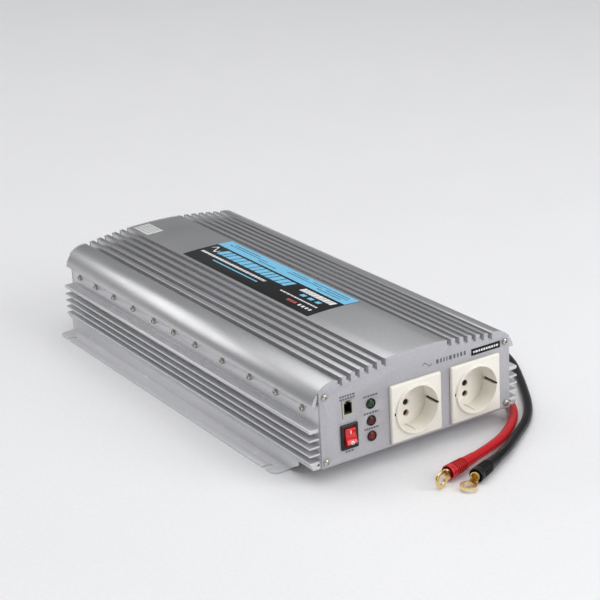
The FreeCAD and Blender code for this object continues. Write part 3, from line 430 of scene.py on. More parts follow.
def plastic(slot: str, colour: Colour, gloss: tuple[float, float] = (0.3, 0.42)) -> Finish:
    """A plain moulded plastic.

    Args:
        slot: The material slot.
        colour: The main colour.
        gloss: Roughness, clean and handled.

    Returns:
        The finish.
    """
    tint = tuple(min(1.0, part * 0.9 + 0.004) for part in colour)
    return Finish(slot, colour, tint, gloss, grain=1800.0, grain_depth=0.006 * MM)


def bare_metal(slot: str, colour: Colour, gloss: tuple[float, float] = (0.2, 0.34)) -> Finish:
    """A plated or turned metal.

    Args:
        slot: The material slot.
        colour: The main colour.
        gloss: Roughness, clean and handled.

    Returns:
        The finish.
    """
    tint = tuple(part * 0.86 for part in colour)
    return Finish(slot, colour, tint, gloss, metallic=1.0, grain=2400.0, grain_depth=0.002 * MM)


SILVER = (0.62, 0.62, 0.63)
SILVER_DARK = (0.53, 0.53, 0.545)
FINISHES: dict[str, Finish] = {
    finish.slot: finish
    for finish in (
        Finish("case_aluminium", SILVER, SILVER_DARK, (0.3, 0.37), metallic=0.94, grain=1500.0,
               grain_depth=0.002 * MM, drawn_depth=0.0025 * MM),
        Finish("rail_aluminium", (0.76, 0.76, 0.77), (0.68, 0.68, 0.7), (0.38, 0.5), metallic=0.55,
               grain=1300.0, grain_depth=0.003 * MM, drawn_depth=0.004 * MM, worn=(0.84, 0.84, 0.85)),
        Finish("panel_finish", (0.5, 0.5, 0.53), (0.44, 0.44, 0.47), (0.4, 0.5), metallic=0.35,
               grain=1500.0, grain_depth=0.01 * MM),
        bare_metal("nickel", (0.6, 0.575, 0.52)),
        # The dark_steel parts in the socket recesses, such as the earth clips, are coloured near black: painted
        # shade of their slots, in place of bright steel.
        Finish("dark_steel", (0.012, 0.01, 0.008), (0.024, 0.02, 0.014), (0.5, 0.65), metallic=0.3),
        Finish("socket_ivory", (0.9, 0.87, 0.79), (0.87, 0.835, 0.75), (0.2, 0.3), grain=900.0,
               grain_depth=0.004 * MM, coat=0.25),
        plastic("terminal_plastic", (0.55, 0.54, 0.5)),
        bare_metal("contact_brass", (0.78, 0.57, 0.27)),
        plastic("switch_black", (0.005, 0.005, 0.0055), (0.28, 0.38)),
        GlowingPlastic("rocker_red", (0.72, 0.008, 0.012), (0.6, 0.004, 0.01), (0.14, 0.22), grain=1400.0,
                       coat=0.4),
        plastic("jack_beige", (0.5, 0.48, 0.42)),
        GlowingPlastic("lamp_green", (0.001, 0.03, 0.01), (0.002, 0.055, 0.018), (0.14, 0.22), coat=0.15,
                       grain=2200.0, inner=0.1),
        GlowingPlastic("lamp_dark_red", (0.06, 0.001, 0.002), (0.1, 0.002, 0.003), (0.14, 0.22), coat=0.15,
                       grain=2200.0, inner=0.1),
        GlowingPlastic("lamp_red", (0.13, 0.001, 0.003), (0.2, 0.002, 0.004), (0.14, 0.22), coat=0.15,
                       grain=2200.0, inner=0.1),
        plastic("bezel_grey", (0.008, 0.008, 0.009)),
        Finish("board_green", (0.01, 0.07, 0.035), (0.016, 0.1, 0.05), (0.35, 0.45), grain=700.0, coat=0.3),
        Finish("label_print", (0.003, 0.003, 0.0035), (0.005, 0.005, 0.006), (0.34, 0.46), grain=1400.0,
               grain_depth=0.003 * MM, bend=1.32),
        Finish("tag_grey", (0.62, 0.62, 0.6), (0.55, 0.55, 0.53), (0.4, 0.5), grain=900.0),
        plastic("fan_black", (0.018, 0.018, 0.02)),
        bare_metal("guard_steel", (0.68, 0.68, 0.69), (0.16, 0.28)),
        plastic("gland_black", (0.02, 0.02, 0.021), (0.38, 0.5)),
        CableJacket("cable_red", (0.55, 0.005, 0.011), (0.46, 0.003, 0.008), (0.26, 0.38), grain=700.0,
                    grain_depth=0.006 * MM),
        CableJacket("cable_black", (0.002, 0.002, 0.0022), (0.004, 0.004, 0.0042), (0.24, 0.36), grain=700.0,
                    grain_depth=0.006 * MM, bend=1.36, sheen=0.0),
        CableJacket("boot_red", (0.55, 0.005, 0.011), (0.46, 0.003, 0.008), (0.28, 0.4), grain=900.0),
        CableJacket("boot_black", (0.003, 0.003, 0.0032), (0.005, 0.005, 0.0052), (0.28, 0.4), grain=900.0,
                    bend=1.36, sheen=0.0),
        bare_metal("gold_plate", (0.93, 0.7, 0.33), (0.14, 0.26)),
        plastic("pad_grey", (0.32, 0.33, 0.34), (0.6, 0.7)),
        plastic("transistor_black", (0.02, 0.02, 0.021), (0.45, 0.6)),
        bare_metal("standoff_brass", (0.75, 0.56, 0.28)),
        plastic("ferrite", (0.05, 0.05, 0.052), (0.6, 0.75)),
        plastic("winding_tape", (0.62, 0.44, 0.06), (0.35, 0.5)),
        plastic("capacitor_sleeve", (0.02, 0.03, 0.09), (0.3, 0.42)),
        plastic("fuse_plastic", (0.75, 0.22, 0.03), (0.25, 0.35)),
        bare_metal("copper", (0.82, 0.42, 0.27)),
    )
}


# Painted light: a lighter, less metallic copy of the case aluminium, so that the side heatsinks show brighter than
# the roof.
SIDE_PAINTED_LIGHT_FINISH = Finish("case_aluminium", (0.72, 0.72, 0.73), (0.64, 0.64, 0.66), (0.34, 0.44), metallic=0.65,
                     grain=1500.0, grain_depth=0.002 * MM, drawn_depth=0.0025 * MM)


class Ink(Enum):
    """Printing inks, each with its colour and its darker tint."""

    WHITE = ((0.85, 0.86, 0.86), (0.74, 0.75, 0.76))
    SKY = ((0.2, 0.56, 0.8), (0.16, 0.5, 0.74))
    NAVY = ((0.04, 0.12, 0.22), (0.03, 0.09, 0.18))
    SLATE = ((0.09, 0.095, 0.11), (0.13, 0.135, 0.15))
    ASH = ((0.33, 0.34, 0.37), (0.4, 0.41, 0.43))
    CORAL = ((0.55, 0.09, 0.08), (0.45, 0.07, 0.06))

    def material(self) -> bpy.types.Material:
        """The ink's material."""
        main, tint = self.value
        finish = Finish("label_print", main, tint, (0.3, 0.42), grain=1600.0, grain_depth=0.003 * MM)
        return finish.material("ink_" + self.name.lower())


# ---------------------------------------------------------------- bench tools
def take(piece: bpy.types.Object) -> bpy.types.Object:
    """Makes a piece the only selected one, in object mode.

    Args:
        piece: The piece.

    Returns:
        The same piece.
    """
    if bpy.context.mode != "OBJECT":
        bpy.ops.object.mode_set(mode="OBJECT")
    bpy.ops.object.select_all(action="DESELECT")
    piece.select_set(True)
    bpy.context.view_layer.objects.active = piece
    return piece


def settled(name: str, scale: Point = (1.0, 1.0, 1.0)) -> bpy.types.Object:
    """Names the primitive just added and puts its place and size into its mesh.

    Args:
        name: The piece's name.
        scale: Its size, where the primitive was added one metre large.

    Returns:
        The piece.
    """
    piece = bpy.context.active_object
    piece.name = piece.data.name = name
    piece.scale = scale
    bpy.ops.object.transform_apply(location=True, rotation=True, scale=True)
    return piece


def modified(piece: bpy.types.Object, kind: str, **settings: object) -> bpy.types.Object:
    """Adds one modifier and applies it.

    Args:
        piece: The piece.
        kind: Blender's name of the modifier.
        **settings: The modifier's settings.

    Returns:
        The same piece.
    """
    take(piece)
    modifier = piece.modifiers.new(kind, kind)
    for key, value in settings.items():
        setattr(modifier, key, value)
    bpy.ops.object.modifier_apply(modifier=modifier.name)
    return piece


def smoothed(piece: bpy.types.Object, degrees: float = 32.0) -> bpy.types.Object:
    """Shades a piece smooth, apart from its sharp edges.

    Args:
        piece: The piece.
        degrees: The angle from which an edge stays sharp.

    Returns:
        The same piece.
    """
    take(piece)
    bpy.ops.object.shade_smooth_by_angle(angle=math.radians(degrees))
    return piece


def placed(piece: bpy.types.Object, matrix: Matrix) -> bpy.types.Object:
    """Moves a piece's mesh and leaves its object at the origin.

    Args:
        piece: The piece.
        matrix: The move.

    Returns:
        The same piece.
    """
    piece.data.transform(matrix)
    piece.data.update()
    return piece


def looking(facing: Facing, point: Vector, roll: float = 0.0) -> Matrix:
    """The move that takes +Z to a facing and the origin to a point.

    Args:
        facing: Where +Z goes.
        point: Where the origin goes.
        roll: A turn about +Z first, in radians.

    Returns:
        The matrix.
    """
    turn = Vector((0.0, 0.0, 1.0)).rotation_difference(facing.vector).to_matrix().to_4x4()
    return Matrix.Translation(point) @ turn @ Matrix.Rotation(roll, 4, "Z")


def joined(name: str, pieces: Sequence[bpy.types.Object]) -> bpy.types.Object:
    """Joins several pieces into one object.

    Args:
        name: The new object's name.
        pieces: The pieces.

    Returns:
        The joined piece.
    """
    take(pieces[0])
    for piece in pieces:
        piece.select_set(True)
    bpy.ops.object.join()
    whole = bpy.context.active_object
    whole.name = whole.data.name = name
    return whole


def copies(name: str, model: bpy.types.Object, moves: Sequence[Matrix]) -> bpy.types.Object:
    """Repeats a model at several places, as one object, and removes the model.

    Args:
        name: The new object's name.
        model: What is repeated.
        moves: Where the copies go.

    Returns:
        The group of copies.
    """
    made = []
    for move in moves:
        copy = bpy.data.objects.new(name, model.data.copy())
        bpy.context.scene.collection.objects.link(copy)
        made.append(placed(copy, move))
    bpy.data.objects.remove(model)
    return joined(name, made)


def removed(*pieces: bpy.types.Object) -> None:
    """Removes helpers such as cutters.

    Args:
        *pieces: What is removed.
    """
    for piece in pieces:
        bpy.data.objects.remove(piece)


def turned(name: str, profile: Sequence[tuple[float, float]], sides: int = 32) -> bpy.types.Object:
    """A lathe-turned solid about Z: a disc, extruded and resized from ring to ring.

    Args:
        name: The piece's name.
        profile: Radius and height of each ring, from the first end to the last.
        sides: Corners of a ring.

    Returns:
        The piece.
    """
    bpy.ops.object.select_all(action="DESELECT")
    radius, height = profile[0]
    bpy.ops.mesh.primitive_circle_add(vertices=sides, radius=radius, fill_type="NGON", location=(0, 0, height))
    piece = settled(name)
    bpy.ops.object.mode_set(mode="EDIT")
    bpy.ops.mesh.select_all(action="SELECT")
    for (start, low), (end, high) in zip(profile, profile[1:]):
        bpy.ops.mesh.extrude_region_move(TRANSFORM_OT_translate={"value": (0, 0, high - low)})
        share = end / start
        bpy.ops.transform.resize(value=(share, share, 1.0), center_override=(0.0, 0.0, high))
    bpy.ops.mesh.select_all(action="SELECT")
    bpy.ops.mesh.normals_make_consistent(inside=False)
    bpy.ops.object.mode_set(mode="OBJECT")
    return smoothed(piece)


def slab(name: str, low: Vector, high: Vector) -> bpy.types.Object:
    """A cuboid between two corners, the start of a cutter or a blank.

    Args:
        name: The piece's name.
        low: Its lowest corner.
        high: Its highest corner.

    Returns:
        The piece.
    """
    bpy.ops.object.select_all(action="DESELECT")
    bpy.ops.mesh.primitive_cube_add(size=1.0, location=(low + high) / 2)
    return settled(name, tuple(high - low))


def rounded_copy(node: str, width: float, segments: int = 2, angle: float = 34.0,
                 clamped: bool = False) -> bpy.types.Object:
    """A CAD node's shape with its faces cleaned and its edges rounded.

    Args:
        node: The CAD node.
        width: Width of the rounding.
        segments: Facets across a rounding.
        angle: Degrees from which an edge is rounded.
        clamped: Whether roundings stop where they would meet.

    Returns:
        The new piece.
    """
    name = node + "_finished"
    piece = bpy.data.objects.new(name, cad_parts[node].data.copy())
    bpy.context.scene.collection.objects.link(piece)
    take(piece)
    bpy.ops.object.mode_set(mode="EDIT")
    bpy.ops.mesh.select_all(action="SELECT")
    bpy.ops.mesh.remove_doubles(threshold=MERGE_DISTANCE)
    bpy.ops.mesh.dissolve_limited(angle_limit=math.radians(0.4))
    bpy.ops.object.mode_set(mode="OBJECT")
    bpy.ops.mesh.customdata_custom_splitnormals_clear()
    modified(piece, "BEVEL", width=width, segments=segments, limit_method="ANGLE",
             angle_limit=math.radians(angle), use_clamp_overlap=clamped)
    return smoothed(piece, 40.0)


def solids(node: str) -> list[tuple[Vector, Vector]]:
    """The boxes of the separate solids in a group node.

    Args:
        node: The CAD node.

    Returns:
        Lowest and highest corner of each solid.
    """
    mesh = bmesh.new()
    mesh.from_mesh(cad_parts[node].data)
    bmesh.ops.remove_doubles(mesh, verts=mesh.verts, dist=MERGE_DISTANCE)
    left = set(mesh.verts)
    boxes = []
    while left:
        edge_of = [left.pop()]
        low, high = edge_of[0].co.copy(), edge_of[0].co.copy()
        while edge_of:
            vertex = edge_of.pop()
            low = Vector(map(min, low, vertex.co))
            high = Vector(map(max, high, vertex.co))
            for edge in vertex.link_edges:
                other = edge.other_vert(vertex)
                if other in left:
                    left.remove(other)
                    edge_of.append(other)
        boxes.append((low, high))
    mesh.free()
    return boxes


def dressed(piece: bpy.types.Object, slot: str, body: Body = Body.CASE, stands_for: Sequence[str] = (),
            material: bpy.types.Material | None = None) -> bpy.types.Object:
    """Gives a finished piece its material, its body and the CAD nodes that it stands for.

    Args:
        piece: The piece.
        slot: The record's material slot.
        body: What it rides on.
        stands_for: The CAD nodes that it replaces.
        material: Its material, if it isn't the slot's own.

    Returns:
        The same piece.
    """
    piece.data.materials.clear()
    piece.data.materials.append(material or FINISHES[slot].material())
    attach(piece, body.value)
    if stands_for:
        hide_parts(*stands_for)
    LOG.info("%s on %s, %s", piece.name, body.value, slot)
    return piece


def slot_of(node: str) -> str:
    """The material slot of a CAD node."""
    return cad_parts[node].data.materials[0].name.split(".")[0]


# ---------------------------------------------------------------- battery leads
@dataclass
class Lead:
    """A battery lead with its strain relief, boot and ring terminal.

    Attributes:
        name: The lead's colour, as in its CAD nodes' names.
        route: The route's control points.
        length: Its real length; not used.
        roll: The ring terminal's turn about the lead, in degrees.
        radius: Radius of the jacket.
        relief_length: Length of the tapered strain relief.
        relief_radius: Its radius at the gland.
        relief_ribs: Its ribs.
        boot_length: Length of the boot ahead of the lead's end.
        boot_tail: Length of the boot over the lead.
        boot_ribs: Its ribs.
        boot_smooth: Length of its smooth cone before the ribs.
        rib_depth: Depth of the gaps between its ribs.
    """

    name: str
    route: Sequence[Point]
    length: float
    roll: float
    radius: float = 4.0 * MM
    relief_length: float = 26.0 * MM
    relief_radius: float = 6.6 * MM
    relief_ribs: int = 7
    boot_length: float = 28.0 * MM
    boot_tail: float = 7.0 * MM
    boot_ribs: int = 6
    boot_smooth: float = 9.5 * MM
    rib_depth: float = 1.3 * MM
    path: list[Vector] = field(default_factory=list)

    @property
    def cable_slot(self) -> str:
        """The jacket's material slot."""
        return "cable_" + self.name

    def build(self) -> None:
        cable = self.cable()
        relief = self.relief()
        boot = self.boot()
        terminal = self.terminal()
        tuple(self.route[0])

    def cable(self) -> bpy.types.Object:
        """The jacket, a smooth curve through the route."""
        curve = bpy.data.curves.new(self.name + "_lead", "CURVE")
        curve.dimensions = "3D"
        curve.resolution_u = 16
        spline = curve.splines.new("NURBS")
        spline.points.add(len(self.route) - 1)
        for point, place in zip(spline.points, self.route):
            point.co = (*place, 1.0)
        spline.order_u = 3
        spline.use_endpoint_u = True
        cable = bpy.data.objects.new(self.name + "_lead", curve)
        bpy.context.scene.collection.objects.link(cable)
        bpy.context.view_layer.update()
        line = bpy.data.meshes.new_from_object(cable)
        self.path = [vertex.co.copy() for vertex in line.vertices]
        bpy.data.meshes.remove(line)
        curve.bevel_depth = self.radius
        curve.bevel_resolution = 6
        curve.use_fill_caps = True
        return dressed(cable, self.cable_slot, stands_for=[self.name + "_cable"])

    def laid(self, piece: bpy.types.Object) -> bpy.types.Object:
        """Bends a piece modelled along +Z onto the start of the lead.

        Args:
            piece: The piece; its height is the distance along the lead.

        Returns:
            The same piece.
        """
        for vertex in piece.data.vertices:
            left = vertex.co.z
            here, ahead = self.path[0], self.path[1]
            for here, ahead in zip(self.path, self.path[1:]):
                step = (ahead - here).length
                if left <= step:
                    break
                left -= step
            onward = (ahead - here).normalized()
            across = onward.cross(Facing.UP.vector).normalized()
            above = across.cross(onward)
            vertex.co = here + onward * left + across * vertex.co.x + above * vertex.co.y
        piece.data.update()
        return piece

    def relief(self) -> bpy.types.Object:
        """The tapered, ribbed sleeve that keeps the lead from kinking at its gland."""
        rings = [(self.relief_radius * 0.9, 0.05 * MM), (self.relief_radius, 0.5 * MM)]
        step = (self.relief_length - 4.0 * MM) / self.relief_ribs
        slope = (self.relief_radius - self.radius - 0.9 * MM) / self.relief_length
        for index in range(self.relief_ribs):
            start = 1.0 * MM + index * step
            outer = self.relief_radius - slope * start
            rings += [(outer, start + step * 0.5), (outer - 0.75 * MM, start + step * 0.6)]
            rings += [(outer - 0.8 * MM, start + step * 0.9), (outer - slope * step, start + step)]
        end = self.radius + 0.5 * MM
        rings += [(end + 0.3 * MM, self.relief_length - 1.0 * MM), (end, self.relief_length - 0.2 * MM)]
        rings += [(self.radius - 0.3 * MM, self.relief_length)]
        piece = self.laid(turned(self.name + "_strain_relief", rings, 40))
        return dressed(piece, "gland_black")

    def end_frame(self) -> Matrix:
        """The frame at the lead's end: +Z onward and +Y up, rolled as the terminal is."""
        onward = (Vector(self.route[-1]) - Vector(self.route[-2])).normalized()
        across = Facing.UP.vector.cross(onward).normalized()
        above = onward.cross(across)
        turn = Matrix((across, above, onward)).transposed().to_4x4()
        roll = Matrix.Rotation(math.radians(self.roll), 4, "Z")
        return Matrix.Translation(self.route[-1]) @ turn @ roll

    def boot(self) -> bpy.types.Object:
        """The ribbed boot, with an open mouth that shows the crimp barrel."""
        start, mouth = self.radius + 0.3 * MM, 6.1 * MM
        rings = [(self.radius - 0.2 * MM, -self.boot_tail), (start, -self.boot_tail + 0.3 * MM)]
        rings += [(start + 0.15 * MM, -self.boot_tail + 3.0 * MM), (start + 0.3 * MM, 0.5 * MM)]
        rings += [(start + 0.7 * MM, self.boot_smooth * 0.6), (start + 1.2 * MM, self.boot_smooth - 0.6 * MM)]
        step = (self.boot_length - 4.9 * MM - self.boot_smooth) / self.boot_ribs
        for index in range(self.boot_ribs):
            low = self.boot_smooth + index * step
            outer = start + 1.3 * MM + (mouth - start - 1.3 * MM) * index / self.boot_ribs
            rings += [(outer - self.rib_depth, low), (outer - self.rib_depth, low + step * 0.36)]
            rings += [(outer - 0.15 * MM, low + step * 0.46), (outer, low + step * 0.7)]
            rings += [(outer - 0.15 * MM, low + step * 0.9)]
        top = self.boot_length
        rings += [(mouth - 0.35 * MM, top - 4.6 * MM), (mouth, top - 3.6 * MM), (mouth, top - 0.5 * MM)]
        rings += [(mouth - 0.25 * MM, top - 0.1 * MM), (mouth - 0.8 * MM, top - 0.1 * MM)]
        rings += [(mouth - 1.1 * MM, top - 0.6 * MM), (mouth - 1.3 * MM, top - 6.0 * MM)]
        piece = placed(turned(self.name + "_ribbed_boot", rings, 40), self.end_frame())
        return dressed(piece, "boot_" + self.name, stands_for=[self.name + "_boot"])

    def terminal(self) -> bpy.types.Object:
        """The gold-plated ring terminal, its edges rounded."""
        node = self.name + "_ring_terminal"
        return dressed(rounded_copy(node, 0.35 * MM, 3, clamped=True), "gold_plate", stands_for=[node])


# ---------------------------------------------------------------- case
@dataclass
class Case:
    """The extruded shells, end panels, rails and base, each with its edges rounded.

    Attributes:
        edge: Rounding of each shell's edges.
    """

    edge: dict[str, float] = field(default_factory=lambda: {
        "top_cover": 0.4 * MM,
        "left_side_heatsink": 0.3 * MM,
        "right_side_heatsink": 0.3 * MM,
        "left_mounting_rail": 0.25 * MM,
        "right_mounting_rail": 0.25 * MM,
        "front_panel": 0.3 * MM,
        "rear_panel": 0.3 * MM,
        "base_plate": 0.25 * MM,
    })

    def build(self) -> None:
        """Builds every shell."""
        for node, width in self.edge.items():
            # The heatsinks take the lighter copy of the case aluminium, which paints light onto the sides.
            material = SIDE_PAINTED_LIGHT_FINISH.material("side_aluminium") if node.endswith("heatsink") else None
            dressed(rounded_copy(node, width), slot_of(node), stands_for=[node], material=material)


@dataclass
class ScrewSet:
    """The pan-head screws of one group node.

    Attributes:
        node: The CAD node.
        facing: The way that the heads look.
        head_radius: Radius of a head.
        head_height: Height of a head.
        shank_radius: Radius of a shank.
        recess: Length, width and depth of the cross recess.
    """

    node: str
    facing: Facing
    head_radius: float = 2.75 * MM
    head_height: float = 2.0 * MM
    shank_radius: float = 1.5 * MM
    recess: Point = (3.1 * MM, 0.8 * MM, 1.2 * MM)

    def model(self, length: float) -> bpy.types.Object:
        """One screw, its head standing on the origin towards +Z.

        Args:
            length: Length of the shank.

        Returns:
            The screw.
        """
        shank, head, top = self.shank_radius, self.head_radius, self.head_height
        profile = [(shank * 0.6, -length), (shank, -length + 0.8 * MM), (shank, -0.02 * MM)]
        profile += [(head * 0.97, 0.0), (head, 0.15 * MM), (head, top * 0.4)]
        profile += [(head * 0.96, top * 0.62), (head * 0.85, top * 0.82), (head * 0.66, top * 0.95)]
        profile += [(head * 0.4, top)]
        screw = turned("screw", profile, 28)
        length_half, width_half, depth = self.recess[0] / 2, self.recess[1] / 2, self.recess[2]
        for long_x in (True, False):
            reach = (length_half, width_half) if long_x else (width_half, length_half)
            low = Vector((-reach[0], -reach[1], top - depth))
            high = Vector((reach[0], reach[1], top + depth))
            cutter = slab("recess_cutter", low, high)
            modified(screw, "BOOLEAN", operation="DIFFERENCE", object=cutter, solver="EXACT")
            removed(cutter)
        return smoothed(screw, 30.0)

    def build(self) -> None:
        """Builds the whole group, every head at its own roll."""
        rolls = random.Random(self.node)
        boxes = solids(self.node)
        look = self.facing.vector
        moves = []
        for low, high in sorted(boxes, key=lambda box: tuple(box[0])):
            middle = (low + high) / 2
            half = abs((high - low).dot(look)) / 2
            seat = middle + look * (half - self.head_height)
            moves.append(looking(self.facing, seat, rolls.uniform(0.0, math.pi)))
        low, high = boxes[0]
        length = abs((high - low).dot(look)) - self.head_height
        group = copies(self.node + "_turned", self.model(length), moves)
        dressed(group, "nickel", stands_for=[self.node])


# ---------------------------------------------------------------- front panel fittings
@dataclass
class PowerSocket:
    """A power socket's ivory body.

    Attributes:
        side: Which of the two.
        edge: Rounding of its edges.
    """

    side: str
    edge: float = 0.35 * MM

    def build(self) -> None:
        """Builds the body."""
        node = self.side + "_socket_body"
        dressed(rounded_copy(node, self.edge, 3), "socket_ivory", stands_for=[node])


@dataclass
class Switch:
    """The rocker switch: black housing, red rocker and the rocker's two signs.

    Attributes:
        housing_edge: Rounding of the housing.
        rocker_edge: Rounding of the rocker.
        sign_height: Height of a sign.
        sign_offset: From the rocker's middle to a sign.
        sign_lift: How far the signs stand out.
    """

    housing_edge: float = 0.5 * MM
    rocker_edge: float = 0.45 * MM
    sign_height: float = 3.0 * MM
    sign_offset: float = 4.4 * MM
    sign_lift: float = 0.12 * MM

    def build(self) -> None:
        """Builds the housing, the rocker and its signs."""
        dressed(rounded_copy("rocker_housing", self.housing_edge, 3), "switch_black",
                stands_for=["rocker_housing"])
        rocker = rounded_copy("rocker_button", self.rocker_edge, 3)
        dressed(rocker, "rocker_red", Body.ROCKER, ["rocker_button"])
        self.signs(rocker)

    def signs(self, rocker: bpy.types.Object) -> None:
        """A bar for on and a ring for off, moulded on the rocker's two ends.

        Args:
            rocker: The rocker that they lie on.
        """
        low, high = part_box("rocker_button")
        middle = (low + high) / 2
        bpy.ops.object.select_all(action="DESELECT")
        bpy.ops.mesh.primitive_grid_add(x_subdivisions=2, y_subdivisions=6, size=1.0)
        bar = settled("on_sign", (0.9 * MM, self.sign_height, 1.0))
        placed(bar, Matrix.Translation((0.0, self.sign_offset, 0.0)))
        bpy.ops.object.select_all(action="DESELECT")
        bpy.ops.mesh.primitive_circle_add(vertices=32, radius=self.sign_height / 2, fill_type="NGON")
        ring = settled("off_sign")
        bpy.ops.object.mode_set(mode="EDIT")
        bpy.ops.mesh.select_all(action="SELECT")
        bpy.ops.mesh.inset(thickness=0.75 * MM)
        bpy.ops.mesh.delete(type="FACE")
        bpy.ops.object.mode_set(mode="OBJECT")
        placed(ring, Matrix.Translation((0.0, -self.sign_offset, 0.0)))
        signs = joined("rocker_signs", [bar, ring])
        placed(signs, looking(Facing.FRONT, Vector((middle.x, low.y - 2.0 * MM, middle.z))))
        modified(signs, "SHRINKWRAP", target=rocker, wrap_method="PROJECT", use_project_x=False,
                 use_project_y=True, use_project_z=False, use_positive_direction=True, offset=0.02 * MM)
        modified(signs, "SOLIDIFY", thickness=self.sign_lift, offset=1.0)
        dressed(smoothed(signs), "rocker_red", Body.ROCKER, material=Ink.WHITE.material())


@dataclass
class Lamps:
    """The three indicator lamps: domed lenses in dark bezels.

    Attributes:
        slots: Each lamp's name and its material slot.
        rise: How far a lens stands out of the bezels.
        rings: Rings of a lens's dome.
    """

    slots: tuple[tuple[str, str], ...] = (
        ("upper", "lamp_green"), ("middle", "lamp_dark_red"), ("lower", "lamp_red"))
    rise: float = 1.3 * MM
    rings: int = 6

    def build(self) -> None:
        """Builds the bezels and the lenses."""
        dressed(rounded_copy("lamp_bezels", 0.3 * MM, 3), "bezel_grey", stands_for=["lamp_bezels"])
        for name, slot in self.slots:
            node = name + "_lamp"
            low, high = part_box(node)
            radius = (high.x - low.x) / 2
            dome = [(radius * math.cos(turn), self.rise * math.sin(turn))
                    for turn in (math.pi / 2 * step / self.rings for step in range(self.rings))]
            profile = [(radius * 0.8, low.y - high.y + self.rise), (radius * 0.82, -1.0 * MM), *dome,
                       (radius * 0.06, self.rise)]
            lens = turned(name + "_lens", profile, 36)
            seat = Vector(((low.x + high.x) / 2, low.y + self.rise, (low.z + high.z) / 2))
            dressed(placed(lens, looking(Facing.FRONT, seat)), slot, stands_for=[node])


@dataclass
class FrontFittings:
    """The remote jack and the front label's plate."""

    edges: dict[str, float] = field(default_factory=lambda: {
        "remote_jack": 0.3 * MM,
        "front_label": 0.05 * MM,
        "top_label": 0.05 * MM,
        "rear_tag": 0.05 * MM,
    })
    # Size, start and wall of the dark shell in the jack's cavity, which paints its shade.
    liner: Point = (7.5 * MM, 11.8 * MM, 9.5 * MM)
    liner_start: float = 0.9 * MM
    liner_wall: float = 0.2 * MM

    def build(self) -> dict[str, bpy.types.Object]:
        """Builds the plates.

        Returns:
            Each piece by its CAD node.
        """
        self.jack_liner()
        return {
            node: dressed(rounded_copy(node, width), slot_of(node), stands_for=[node])
            for node, width in self.edges.items()
        }

    def jack_liner(self) -> bpy.types.Object:
        """A dark shell inside the jack's mouth, open to the front: painted shade in the cavity."""
        low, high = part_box("remote_jack")
        middle = (low + high) / 2
        width, depth, height = self.liner
        corner = Vector((width / 2, 0.0, height / 2))
        near = Vector((middle.x, low.y + self.liner_start, middle.z))
        far = Vector((middle.x, low.y + depth, middle.z))
        liner = slab("jack_liner", near - corner, far + corner)
        take(liner)
        bpy.ops.object.mode_set(mode="EDIT")
        bpy.ops.mesh.select_all(action="DESELECT")
        mesh = bmesh.from_edit_mesh(liner.data)
        for face in mesh.faces:
            face.select = face.normal.y < -0.5
        bpy.ops.mesh.delete(type="FACE")
        bpy.ops.object.mode_set(mode="OBJECT")
        modified(liner, "SOLIDIFY", thickness=self.liner_wall, offset=-1.0)
        modified(liner, "BEVEL", width=self.liner_wall / 4, segments=1, limit_method="ANGLE")
        return dressed(smoothed(liner), "switch_black")


# ---------------------------------------------------------------- rear fittings
@dataclass
class RearFittings:
    """The fan's frame and rotor, the glands, and the earth stud with its nuts."""

    edges: dict[str, tuple[float, Body]] = field(default_factory=lambda: {
        "fan_frame": (0.5 * MM, Body.CASE),
        "fan_rotor": (0.25 * MM, Body.FAN),
        "red_cable_gland": (0.35 * MM, Body.CASE),
        "black_cable_gland": (0.35 * MM, Body.CASE),
        "earth_stud": (0.3 * MM, Body.CASE),
        "earth_nuts": (0.3 * MM, Body.CASE),
    })

    def build(self) -> None:
        """Builds the fittings."""
        for node, (width, body) in self.edges.items():
            dressed(rounded_copy(node, width), slot_of(node), body, [node])


# ---------------------------------------------------------------- prints
@dataclass(frozen=True)
class BarRow:
    """A row of short bars in the place of a line of words.

    Attributes:
        ink: The ink.
        start: Where the row starts along its line.
        end: Where it ends.
        line: The line's place across.
        height: Height of a bar.
        widths: Least and most width of a bar.
        gap: Gap between bars.
        slant: How far a bar's top leans onward.
    """

    ink: Ink
    start: float
    end: float
    line: float
    height: float
    widths: tuple[float, float]
    gap: float
    slant: float = 0.0

    def bars(self, seed: str) -> list[bpy.types.Object]:
        """Lays the row's bars flat, facing +Z.

        Args:
            seed: What the widths are drawn from.

        Returns:
            The bars.
        """
        draw = random.Random(f"{seed}{self.start:.4f}{self.line:.4f}")
        made = []
        place = self.start
        while place < self.end - self.widths[0] * 0.5:
            width = min(draw.uniform(*self.widths), self.end - place)
            bpy.ops.object.select_all(action="DESELECT")
            bpy.ops.mesh.primitive_grid_add(
                x_subdivisions=1, y_subdivisions=max(1, round(self.height / BEND_STEP)), size=1.0,
                location=(place + width / 2, self.line, 0.0))
            bar = settled("bar", (width, self.height, 1.0))
            for vertex in bar.data.vertices:
                vertex.co.x += self.slant * (vertex.co.y - self.line) / self.height
            made.append(bar)
            place += width + self.gap
        return made


@dataclass(frozen=True)
class WaveSign:
    """A sine wave, the common sign for alternating current.

    Attributes:
        ink: The ink.
        start: Where the wave starts along its line.
        line: The line's place across.
        length: Its length.
        height: Its height.
        cycles: Its cycles.
        stroke: Width of its stroke.
    """

    ink: Ink
    start: float
    line: float
    length: float
    height: float
    cycles: int
    stroke: float

    def bars(self, seed: str) -> list[bpy.types.Object]:
        """Lays the wave flat, facing +Z.

        Args:
            seed: Not used by a wave, which is always the same.

        Returns:
            The wave, in a list.
        """
        bpy.ops.object.select_all(action="DESELECT")
        bpy.ops.mesh.primitive_grid_add(x_subdivisions=20 * self.cycles, y_subdivisions=1, size=1.0,
                                        location=(self.start + self.length / 2, self.line, 0.0))
        wave = settled("wave", (self.length, self.stroke, 1.0))
        for vertex in wave.data.vertices:
            turn = 2 * math.pi * self.cycles * (vertex.co.x - self.start) / self.length
            vertex.co.y += self.height / 2 * math.sin(turn)
        return [wave]


